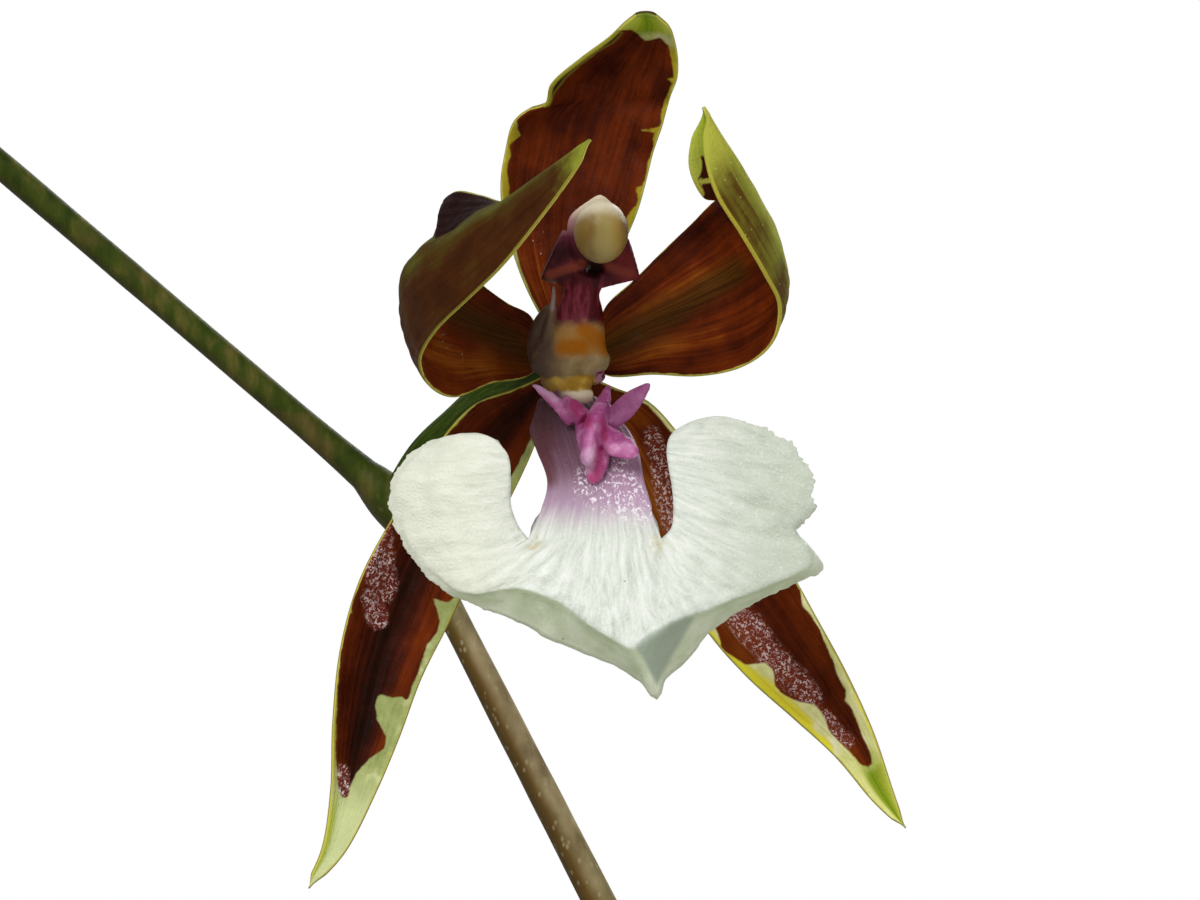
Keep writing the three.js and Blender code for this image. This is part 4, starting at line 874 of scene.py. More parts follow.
def flower_stalk(flower):
    place = placing(flower)
    line = place([(flower["hand"] * x, y, z) for x, y, z in PEDICEL])
    return stalk([SPIKE[flower["node"]][0], *line], 0.8, OVARY_RADIUS, ribs=0.05)


def bud_stalk(bud):
    foot, offset = np.array(SPIKE[bud["node"]][0], float), np.array(bud["offset"], float)
    knee = foot + 0.55 * offset + (offset[0] * 0.15, 0, -0.6)
    return stalk([foot, knee, foot + offset], 0.45, 0.7, 40, 0.03)


def scale_surface(node):
    """The pointed scale that clasps the stem at a node."""
    at, radius, length = SPIKE[node]
    up = np.array(SPIKE[node + 1][0], float) - at
    up /= np.linalg.norm(up)
    side = np.cross(up, (0, -1, 0))
    side *= (1 if node % 2 else -1) / np.linalg.norm(side)
    front = np.cross(side, up)

    def surface(s, t):
        angle = t * math.radians(100) * (1 - 0.93 * s**1.4)
        reach = radius + 0.12 + 0.09 * length * s * s
        point = np.array(at) + up * (length * s - NODE_REACH)[..., None]
        return point + side * (
            reach * np.cos(angle)
        )[..., None] + front * (reach * np.sin(angle))[..., None]

    return surface


def scale_lines(s, t, middle, edge):
    return 0.04 * np.cos(t * 22)


centres, radii = spike_line()
shoulder = np.linalg.norm(centres - np.array(SPIKE[FIRST_FLOWER["node"]][0]), axis=1) / SHOULDER_REACH
radii = radii * (1 + 0.025 * uneven(centres, 3.0, 1)) + SHOULDER_SWELLING * np.exp(-(shoulder**2))
stem = build("spike_stem", *tube(centres, radii, radii, STEM_SIDES))
scales = [
    sheet(scale_surface(n), BRACT_ROWS, BRACT_COLUMNS, BRACT_THICKNESS, relief=scale_lines)
    for n, (_, _, length) in enumerate(SPIKE) if length
]
bracts = build("spike_scales", *joined(scales))
stalks = build(
    "flower_stalks",
    *joined(
        [flower_stalk(flower) for flower in (FIRST_FLOWER, *LATER_FLOWERS)]
        + [bud_stalk(bud) for bud in BUDS]
    )
)

wiry = Finish("spike_skin", Specular_IOR_Level=0.1)
spot = wiry.place()
blotch = wiry.cloud(wiry.stretch(spot, 0.9, 0.9, 0.35), 1, 5)
apart = wiry.node("SeparateXYZ")
wiry.feed(apart, 0, spot)
height = Wire(wiry, apart.outputs["Z"])
# How far round the stem a point lies towards the side that is painted in shade
shaded_side = wiry.sum("COSINE", wiry.painted("around") - SHADED_FLANK)
low = wiry.stops(blotch, (0.3, "8a7855"), (0.5, "a99770"), (0.72, "c4b38c"))
low = wiry.mix(wiry.step(height, 262, 278, 0.7, 0.0), low, "6c6634")
# Painted shade: the low stem browner and darker on that side
low = wiry.mix(wiry.step(shaded_side, -0.7, 0.2, 0, 0.95), low, "684b1a")
high = wiry.stops(blotch, (0.3, "1f2e04"), (0.5, "38430a"), (0.72, "625828"))
olive = wiry.mix(wiry.step(height, 281, 292), low, high)
dots = wiry.cells(wiry.stretch(spot, 1, 1, 0.6), 2.3)
olive = wiry.mix(wiry.step(dots, 0.12, 0.3, 0.6, 0.0) * wiry.step(height, 284, 294, 1, 0), olive, "b3a883")
# Painted shade: dark olive on that side all along the stem
olive = wiry.mix(wiry.step(shaded_side, -0.2, 1.0, 0, 0.75), olive, "2e260f")
olive = wiry.mix(wiry.step(wiry.cloud(spot, 0.5, 4), 0.5, 0.75, 0, 0.4), olive, "5c4428")
grain = wiry.cloud(wiry.stretch(spot, 3, 3, 0.7), 1.5, 5)
stem_finish = wiry.done(olive, wiry.step(grain, 0.3, 0.7, 0.42, 0.62), wiry.relief(grain, 0.06, 0.4))
fit(stem, stem_finish, "stem", "flower_spike")

fleshy = Finish("stalk_skin", Specular_IOR_Level=0.05)
spot = fleshy.place()
rib = fleshy.cloud(fleshy.span(fleshy.painted("along") * 4, fleshy.painted("around") * 2), 2, 4)
leafy = fleshy.stops(rib, (0.3, "1d2b05"), (0.5, "30410c"), (0.72, "4a5818"))
leafy = fleshy.mix(fleshy.step(fleshy.cells(spot, 2.2), 0.1, 0.22, 0.2, 0.0), leafy, "6d7640")
stalk_finish = fleshy.done(leafy, fleshy.step(rib, 0.3, 0.7, 0.4, 0.6), fleshy.relief(rib, 0.1, 0.6))
fit(stalks, stalk_finish, "stem", "flower_spike")

scaled = Finish("scale_skin")
line = scaled.cloud(scaled.span(scaled.painted("across") * 10, scaled.painted("along") * 2), 1, 4)
dry = scaled.stops(line, (0.3, "5d5a33"), (0.5, "8a8350"), (0.72, "aea274"))
dry = scaled.mix(scaled.step(scaled.painted("edge"), 0.0, 0.6, 0.6, 0.0), dry, "b59c6c")
dry = scaled.mix(scaled.step(scaled.painted("along"), 0.6, 1.0, 0, 0.75), dry, "7a5a38")
scale_finish = scaled.done(dry, scaled.step(line, 0.3, 0.7, 0.55, 0.8), scaled.relief(line, 0.15, 0.6))
fit(bracts, scale_finish, "stem", "flower_spike")

# The sepals and petals: five waxy, red-brown strips with yellow-green margins and tips. Each is rooted
# round the column's foot; the two petals curl forward so that their olive backs show.
TEPAL_THICKNESS = 0.32
TEPAL_ROWS, TEPAL_COLUMNS = 110, 48
FIRST_FINENESS, LATER_FINENESS = 1.3, 0.6
DORSAL_SEPAL = [
    [(-0.6, 1.4, -0.35), (0.0, 1.4, -0.35), (0.6, 1.4, -0.35)],
    [(-1.4, 2.6, -0.5), (-0.1, 2.9, -1.1), (1.2, 2.7, -0.6)],
    [(-2.6, 5.1, -0.8), (-0.2, 5.5, -2.0), (2.6, 5.4, -1.0)],
    [(-3.6, 8.7, -0.8), (0.0, 9.0, -2.4), (4.0, 8.5, -1.0)],
    [(-3.67, 10.6, -0.8), (0.4, 10.8, -2.5), (4.6, 10.6, -1.1)],
    [(-3.45, 12.0, -0.8), (0.8, 12.3, -2.6), (4.95, 12.0, -1.2)],
    [(-3.0, 13.6, -0.7), (1.3, 13.9, -2.5), (5.45, 13.5, -1.1)],
    [(-2.2, 14.35, -0.6), (1.7, 14.7, -2.4), (5.7, 14.4, -1.0)],
    [(-1.15, 14.75, -0.5), (2.1, 15.3, -2.2), (5.95, 15.2, -0.9)],
    [(-0.85, 15.75, -0.2), (2.5, 16.3, -1.9), (6.3, 16.2, -0.6)],
    [(0.8, 17.2, 0.6), (3.4, 17.5, -0.9), (6.35, 17.3, 0.0)],
    [(2.5, 18.45, 1.3), (4.3, 18.6, 0.2), (6.1, 18.5, 0.8)],
    [(3.3, 19.2, 1.8), (4.6, 19.3, 1.2), (5.8, 19.1, 1.5)],
    [(3.9, 19.65, 2.1), (4.5, 19.8, 1.9), (5.2, 19.6, 2.1)],
]
PETAL_RIGHT = [
    [(1.35, 0.9, -0.35), (1.45, 0.35, -0.35), (1.3, -0.2, -0.35)],
    [(2.3, 3.2, 0.2), (2.7, 1.0, 0.1), (2.5, -0.8, 0.5)],
    [(3.8, 4.6, 0.2), (4.8, 2.0, 0.4), (4.9, -0.7, 2.0)],
    [(5.4, 6.2, 0.6), (7.2, 2.9, 1.4), (7.5, -0.8, 3.6)],
    [(7.1, 7.8, 1.6), (9.6, 3.9, 2.8), (9.9, -0.3, 5.6)],
    [(8.2, 8.9, 3.2), (11.2, 4.9, 5.0), (11.55, 1.0, 8.0)],
    [(8.9, 9.4, 5.4), (12.0, 5.5, 7.8), (11.9, 3.0, 10.2)],
    [(9.1, 9.4, 8.2), (11.65, 7.1, 10.8), (11.0, 4.8, 12.8)],
    [(8.45, 9.0, 10.8), (10.8, 8.7, 13.0), (9.7, 6.9, 14.8)],
    [(7.6, 9.1, 12.8), (9.7, 10.5, 14.8), (8.3, 9.1, 16.2)],
    [(6.85, 10.8, 14.0), (8.6, 12.2, 15.6), (7.7, 11.1, 16.6)],
    [(7.3, 13.6, 15.4), (7.65, 13.9, 15.8), (7.6, 13.4, 16.1)],
]
PETAL_LEFT = [
    [(-1.35, 0.9, -0.35), (-1.45, 0.35, -0.35), (-1.3, -0.2, -0.35)],
    [(-2.0, 2.6, 0.2), (-2.4, 0.8, 0.1), (-2.4, -0.9, 0.5)],
    [(-3.4, 3.4, 0.2), (-4.2, 1.2, 0.6), (-4.2, -1.2, 2.0)],
    [(-5.2, 4.8, 0.8), (-6.5, 2.0, 1.6), (-6.2, -2.0, 3.8)],
    [(-6.6, 6.6, 1.8), (-8.4, 3.0, 3.4), (-7.6, -1.4, 6.4)],
    [(-7.0, 8.5, 3.6), (-9.2, 4.1, 6.0), (-8.1, 0.0, 8.8)],
    [(-6.2, 9.5, 6.0), (-8.5, 5.4, 8.6), (-7.2, 1.6, 11.2)],
    [(-4.6, 9.2, 8.6), (-6.6, 6.5, 11.0), (-5.4, 3.3, 13.2)],
    [(-2.9, 8.7, 11.2), (-4.1, 8.0, 12.8), (-3.5, 5.1, 14.8)],
    [(-1.5, 9.4, 13.0), (-1.7, 9.7, 14.0), (-1.6, 7.4, 15.8)],
    [(0.0, 10.7, 14.7), (0.1, 11.0, 15.2), (0.2, 9.8, 16.3)],
    [(1.2, 12.0, 16.0), (1.4, 12.1, 16.2), (1.4, 11.7, 16.4)],
]
SEPAL_LEFT = [
    [(-1.25, -0.8, -0.35), (-0.9, -1.15, -0.35), (-0.5, -1.35, -0.35)],
    [(-2.8, -1.5, -0.9), (-1.9, -2.0, -1.3), (-1.2, -2.8, -0.8)],
    [(-5.3, -2.5, -1.4), (-3.7, -3.8, -2.4), (-1.9, -4.9, -1.4)],
    [(-7.6, -5.1, -2.2), (-5.8, -6.6, -3.4), (-3.3, -7.9, -2.0)],
    [(-9.8, -8.7, -2.6), (-7.8, -10.1, -4.0), (-5.2, -11.4, -2.4)],
    [(-11.8, -12.5, -2.6), (-9.4, -13.9, -4.0), (-6.7, -14.8, -2.4)],
    [(-12.9, -16.4, -2.2), (-10.7, -17.5, -3.6), (-8.3, -18.0, -2.2)],
    [(-13.3, -20.6, -1.4), (-11.6, -21.2, -2.6), (-9.6, -21.5, -1.4)],
    [(-13.4, -24.4, -0.6), (-12.4, -24.7, -1.4), (-10.9, -24.6, -0.6)],
    [(-13.9, -27.8, 0.6), (-13.3, -27.8, 0.2), (-12.6, -27.9, 0.6)],
    [(-14.8, -29.8, 1.4), (-14.6, -29.9, 1.4), (-14.3, -29.8, 1.4)],
]
SEPAL_RIGHT = [
    [(0.5, -1.35, -0.35), (0.9, -1.15, -0.35), (1.25, -0.8, -0.35)],
    [(1.4, -2.7, -0.8), (2.1, -2.2, -1.3), (2.8, -1.5, -0.9)],
    [(2.6, -4.8, -1.4), (3.8, -4.0, -2.4), (4.7, -2.3, -1.2)],
    [(4.2, -8.3, -2.0), (5.6, -7.0, -3.4), (7.1, -5.0, -2.0)],
    [(6.2, -11.9, -2.4), (8.0, -10.6, -3.8), (9.8, -8.5, -2.2)],
    [(8.0, -15.2, -2.4), (10.3, -14.1, -3.8), (12.4, -11.4, -2.2)],
    [(10.3, -17.9, -2.0), (12.6, -16.8, -3.4), (14.5, -15.0, -2.0)],
    [(13.0, -20.3, -1.4), (14.8, -19.6, -2.6), (16.2, -18.2, -1.4)],
    [(15.4, -22.5, -0.6), (16.6, -21.9, -1.6), (17.5, -21.1, -0.8)],
    [(17.5, -25.0, 0.4), (18.0, -24.6, 0.0), (18.5, -24.1, 0.2)],
    [(19.1, -26.5, 1.0), (19.3, -26.5, 1.0), (19.2, -26.2, 1.0)],
]
# The markings, across and up from the flower's heart: the edges of the brown, the rolled strip on the top
# sepal and the raised lobe of one petal, whose dark is painted shade, then strokes of a reach each
DORSAL_BROWN = [
    (-3.32, 8.69), (-3.32, 9.38), (-3.26, 10.12), (-3.37, 10.86), (-3.32, 11.43), (-3.15, 11.83),
    (-3.26, 12.4),
    (-2.92, 12.69), (-2.57, 12.97), (-2.8, 13.32), (-2.8, 13.83), (-2.45, 14.3), (-1.9, 14.4),
    (-1.35, 14.65),
    (-1.2, 15.2), (-0.9, 16.1), (0.5, 17.3), (1.9, 18.35), (2.9, 18.8), (3.7, 18.9), (4.51, 18.34),
    (5.36, 18.51), (5.82, 18.06), (5.99, 17.32), (6.11, 16.23), (5.82, 16.17), (6.11, 15.89), (5.65, 15.03),
    (5.36, 14.17), (5.42, 13.55), (5.08, 13.32), (4.22, 13.26), (5.14, 13.15), (4.97, 12.75), (5.02, 12.23),
    (4.68, 11.43), (4.51, 10.52), (4.34, 10.06), (3.94, 9.95), (4.11, 9.55), (4.05, 8.98), (3.54, 8.46),
    (2.9, 6.2),
    (1.9, 3.4), (0.9, 0.98), (-0.7, 0.98), (-1.2, 2.2), (-1.9, 3.55), (-2.5, 5.2), (-3.1, 7.26),
]
DORSAL_ROLL = [
    (-1.3, 14.5), (-1.3, 15.0), (-1.0, 16.0), (0.4, 17.3), (1.8, 18.4), (2.9, 18.9), (3.3, 18.7),
    (2.7, 18.1),
    (1.8, 17.6), (0.8, 16.85), (0, 16.15), (-0.6, 15.35), (-0.95, 14.6),
]
PETAL_LOBE = [
    (-7.4, 6.5), (-7.6, 7.37), (-7.6, 8.39), (-7.2, 9.6), (-6.06, 9.9), (-5.27, 9.9), (-4.37, 9.5),
    (-3.58, 8.89),
    (-3.86, 8.56), (-4.82, 8.16), (-5.66, 7.49), (-6.51, 6.64),
]
LEFT_BROWN = [
    (-9.9, -8.55), (-10.15, -9.25), (-10.77, -10.17), (-11.68, -11.31), (-12.2, -12.74), (-12.37, -13.77),
    (-12.25, -14.29), (-12.83, -14.74), (-12.88, -15.89), (-13.06, -18.18), (-13.11, -20.24),
    (-13.17, -22.36),
    (-13.0, -24.47), (-12.71, -24.87), (-12.48, -24.82), (-12.37, -24.36), (-11.97, -23.44),
    (-11.17, -22.58),
    (-10.37, -22.07), (-10.31, -21.44), (-10.59, -20.93), (-10.82, -20.41), (-10.94, -19.67),
    (-10.88, -19.21),
    (-10.59, -19.04), (-10.02, -19.21), (-9.39, -19.15), (-9.11, -19.32), (-8.82, -18.64), (-8.48, -17.72),
    (-8.13, -16.8), (-7.96, -16.18), (-7.39, -15.49), (-7.22, -14.74), (-7.56, -13.83), (-7.68, -13.54),
    (-6.76, -13.71), (-6.47, -13.54), (-5.96, -13.03), (-5.22, -11.31), (-3.78, -7.88), (-2.15, -4.64),
    (-1.1, -1.9),
    (-0.6, -0.3), (-1.6, -0.45), (-3.5, -1.3), (-5.2, -2.4), (-6.8, -4.15), (-8.35, -5.9),
]
RIGHT_BROWN = [
    (8.58, -15.2), (8.92, -16.46), (9.66, -16.92), (10.24, -17.32), (10.92, -17.26), (11.38, -17.21),
    (11.78, -17.49),
    (11.9, -17.72), (12.01, -18.52), (12.3, -18.98), (12.87, -19.21), (13.38, -19.44), (14.24, -19.61),
    (14.64, -20.07), (14.93, -20.93), (15.44, -21.55), (16.25, -22.3), (16.82, -22.93), (17.22, -23.1),
    (17.45, -22.93), (17.33, -22.3), (16.99, -21.44), (16.7, -20.58), (16.36, -19.84), (15.96, -19.32),
    (16.02, -18.75), (15.73, -18.29), (15.39, -17.49), (14.99, -16.35), (14.53, -15.32), (14.13, -14.63),
    (13.5, -13.89), (13.38, -13.03), (13.1, -12.46), (11.8, -11.0), (9.5, -8.4), (7.0, -5.2), (5.85, -3.75),
    (4.65, -2.45), (2.6, -1.1), (0.9, -0.6), (0.9, -1.9), (2.3, -4.44), (3.77, -7.5), (4.8, -9.42),
    (6.06, -11.88),
    (7.32, -13.89),
]
FLAP_BROWN = [
    (7.45, 11.35), (7.62, 11.3), (7.9, 11.0), (8.4, 10.4), (8.6, 10.02), (7.35, 10.02), (7.55, 10.3),
    (7.6, 10.7),
]
FLAP_TAB = [(7.42, 9.78), (8.6, 9.86), (10, 9.5), (10, 7), (7, 7), (7.7, 9.2)]
# How far to the left a petal's face may reach, at heights from low to high
PETAL_WALL = [
    (-9, -30), (3, -10.6), (5.0, -9.21), (6.25, -7.95), (6.8, -7.2), (7.5, -6.95), (8.2, -7.0), (9.1, -6.8),
    (9.5, -6.5), (12, -6)
]
# Strokes in each part: gloss where glints and a sheen are painted, lemon where the margins are yellow, and
# strokes where painted shade darkens the brown and where painted light warms it
TEPALS = {
    "dorsal_sepal": {
        "rows": DORSAL_SEPAL, "wave": 0.3, "brown": DORSAL_BROWN, "fold": DORSAL_ROLL, "tip": 0.87,
        "rims": (0, 0, 0.1, 0.1), "pinch": 0,
        "tone": (0.42, 0.34, 0.3, 0.36, 0.36, 0.32), "back": (0.4, 0.6, 0.5, 0.6, 0.4, 0.5),
        "glow_and_warmth": [(-2.2, 7.0, -0.9, 3.0, 1.1)], "gloss": [(-1.9, 7.7, -1.3, 6.5, 0.55)],
        "lemon": [(-3.4, 8.5, -3.4, 13.0, 1.2), (4.0, 8.6, 6.4, 17.0, 1.4)], "painted_shade": [],
        "pales": ("8f9450", "a8aa66", "c8c694", "978820"), "side": None,
    },
    "petal_left": {
        "rows": PETAL_LEFT, "wave": 0, "brown": None, "fold": PETAL_LOBE, "tip": 0.93,
        "rims": (0, 0.02, 0.02, 0.04), "pinch": 0.8,
        "tone": (0.3, 0.36, 0.4, 0.5, 0.56, 0.48), "back": (0.46, 0.57, 0.6, 0.37, 0.26, 0.32),
        "glow_and_warmth": [(-7.2, 0.6, -4.6, -0.8, 1.1)], "gloss": [(-7.1, 1.3, -6.2, 0.4, 0.7)], "lemon": [],
        "painted_shade": [(-6.4, 3.0, -2.4, 0.6, 1.6)],
        "pales": ("a3a865", "b9bb7c", "d8d6aa", "b3a52b"), "side": None,
    },
    "petal_right": {
        "rows": PETAL_RIGHT, "wave": 0, "brown": None, "fold": None, "tip": 0.87,
        "rims": (0, 0.02, 0.02, 0.12), "pinch": 0.8,
        "tone": (0.24, 0.34, 0.44, 0.34, 0.46, 0.38, 0.36), "back": (0.7, 0.8, 0.9, 1.0, 0.9, 0.58, 0.5),
        "glow_and_warmth": [(2.5, 1.2, 7.5, 4.6, 1.4), (3.0, 0.0, 8.5, 1.5, 0.8)],
        "pales": ("a8a23c", "b3ad42", "bdb750", "b3a52b"), "side": None,
        "gloss": [], "lemon": [], "painted_shade": [(2.6, 0.9, 6.0, 2.8, 1.7), (6.0, 2.8, 9.6, 5.2, 1.3)],
    },
    "lateral_sepal_left": {
        "rows": SEPAL_LEFT, "wave": 0.2, "brown": LEFT_BROWN, "fold": None, "tip": 0.82,
        "rims": (0, 0, 0.1, 0.1), "pinch": 0.8,
        "pales": ("8f9a5a", "a4ac6c", "cdd39c", "98933a"), "side": (-1, 0.35, 0.85, "cdd39c"),
        "tone": (0.36, 0.3, 0.06, 0.14, 0.44, 0.44), "back": (0.5, 0.4, 0.6, 0.6, 0.4, 0.5), "glow_and_warmth": [],
        "gloss": [
            (-10.9, -9.4, -10.5, -12.8, 1.1), (-11.2, -13.5, -10.8, -14.8, 0.75),
            (-12.8, -23.4, -12.6, -24.8, 0.5)
        ],
        "lemon": [
            (-2.8, -1.5, -7.6, -5.1, 0.8), (-7.6, -5.1, -11.8, -12.5, 0.8),
            (-11.8, -12.5, -13.4, -20.6, 0.7), (-13.4, -20.6, -13.6, -25.5, 0.6)
        ],
        "painted_shade": [],
    },
    "lateral_sepal_right": {
        "rows": SEPAL_RIGHT, "wave": 0.2, "brown": RIGHT_BROWN, "fold": None, "tip": 0.84,
        "rims": (0, 0, 0.1, 0.1), "pinch": 0.8,
        # The right sepal's pale colours are painted lighter than the left one's, painted light that lifts the
        # shadow the lip casts on it
        "pales": ("d8d88a", "ebe8aa", "f6f4d6", "ecdf3a"), "side": (1, -0.75, -0.35, "d8d97e"),
        "tone": (0.56, 0.6, 0.52, 0.36, 0.4, 0.42), "back": (0.5, 0.4, 0.6, 0.6, 0.4, 0.5),
        "glow_and_warmth": [(3.8, -3.0, 6.2, -9.6, 2.2)],
        "gloss": [
            (9.4, -13.9, 14.0, -19.3, 1.15), (14.8, -20.3, 16.1, -21.6, 0.6), (5.0, -4.2, 6.2, -9.6, 0.8)
        ],
        "lemon": [
            (8.0, -15.9, 10.4, -18.3, 0.95), (10.4, -18.3, 13.4, -20.8, 1.15),
            (13.4, -20.8, 14.8, -22.1, 0.6), (9.5, -6.9, 14.8, -14.1, 0.7), (14.8, -14.1, 18.4, -22.3, 0.6)
        ],
        "painted_shade": [],
    },
}


def through(rows, hand=1):
    """A surface through rows of three points: a margin, the midrib and the other margin."""
    rows = np.array(rows, float) * (hand, 1, 1)

    def surface(s, t):
        weights = ((t * (t - 1)) / 2, 1 - t * t, (t * (t + 1)) / 2)
        return sum(run(rows[:, k], s) * w[..., None] for k, w in enumerate(weights))

    return surface


def inside(points, outline):
    """How far points lie inside an outline, in millimetres; less than 0 outside it."""
    outline = np.array(outline, float)
    distance, crossings = np.full(len(points), 1e9), np.zeros(len(points), int)
    for a, b in zip(outline, np.roll(outline, -1, axis=0)):
        share = np.clip(((points - a) @ (b - a)) / ((b - a) @ (b - a)), 0, 1)
        distance = np.minimum(distance, np.linalg.norm(points - a - share[:, None] * (b - a), axis=1))
        rises = (a[1] > points[:, 1]) != (b[1] > points[:, 1])
        at = a[0] + (points[:, 1] - a[1]) * (b[0] - a[0]) / (b[1] - a[1] if b[1] != a[1] else 1e-9)
        crossings += rises & (points[:, 0] < at)
    return np.where(crossings % 2 == 1, distance, -distance)


def near(points, strokes):
    """How near points are to any of some strokes: 1 on a stroke's line, 0 at its reach."""
    nearness = np.zeros(len(points))
    for ax, ay, bx, by, reach in strokes:
        a, along = np.array((ax, ay)), np.array((bx - ax, by - ay))
        share = np.clip(((points - a) @ along) / (along @ along), 0, 1)
        nearness = np.maximum(
            nearness, 1 - np.linalg.norm(points - a - share[:, None] * along, axis=1) / reach
        )
    return nearness


def tepal(name, flower, fineness):
    """A sepal or petal of a flower with waved margins, painted with its markings, painted shade and light."""
    marks = TEPALS[name]
    hand = flower["hand"]
    flat = through(marks["rows"], hand)
    wall_up, wall_out = np.array(PETAL_WALL, float).T

    def surface(s, t):
        pinch = 1 - marks["pinch"] * soft_step(0.96, 1, s)
        point = flat(s, t * pinch)
        ripple = np.sin(math.pi * s) * np.sin((9 * s + np.where(t > 0, 0.4, 0)) * math.pi)
        point[..., 2] += marks["wave"] * t * t * ripple
        if name == "petal_left":
            out = point[..., 0] * hand - np.interp(point[..., 1], wall_up, wall_out)
            point[..., 0] -= hand * np.minimum(out, 0) * 0.85
            hollow = soft_step(
                -0.5, 0.4, inside(np.reshape(point[..., :2] * (hand, 1), (-1, 2)), PETAL_LOBE)
            ).reshape(s.shape)
            point[..., 2] -= 0.9 * hollow * soft_step(0.2, -0.5, t)
        return point

    def crumple(s, t, middle, edge):
        veins = 0.02 * np.cos(t * 2 * math.pi * 5.5) * np.sin(math.pi * s)
        keel = -0.1 * np.exp(-((t / 0.06) ** 2)) * np.sin(math.pi * s)
        return veins + keel + 0.1 * uneven(middle, 1.7, 4) * soft_step(0, 0.8, edge)

    points, faces, painted = sheet(
        surface, round(TEPAL_ROWS * fineness), round(TEPAL_COLUMNS * fineness), TEPAL_THICKNESS,
        relief=crumple, front=(0, 0, 1)
    )
    spread, across, back = points[:, :2] * (hand, 1), (painted["across"] + 1) / 2, painted["back"] > 0.5
    left, right, back_left, back_right = marks["rims"]
    rim = np.where(back, np.where(across < 0.5, back_left, back_right), np.where(across < 0.5, left, right))
    if marks["brown"]:
        painted["brown"] = inside(spread, marks["brown"])
    else:
        flap = np.maximum(
            inside(spread, FLAP_BROWN), inside(spread, FLAP_TAB)
        ) if name == "petal_right" else -5.0
        painted["brown"] = np.where(
            painted["along"] > (0.76 if name == "petal_right" else marks["tip"]), flap, 5.0
        )
    painted["fold"] = inside(spread, marks["fold"]) if marks["fold"] else np.full(len(points), -5.0)
    if name == "petal_left":
        painted["fold"][(across > 0.42) | ~back] = -5
    painted["rim"] = painted["edge"] - rim
    painted["tone"] = np.where(back, eased(marks["back"], across), eased(marks["tone"], across))
    painted.update({key: near(spread, marks[key]) for key in ("gloss", "lemon", "painted_shade", "glow_and_warmth")})
    return placing(flower)(points), faces, painted


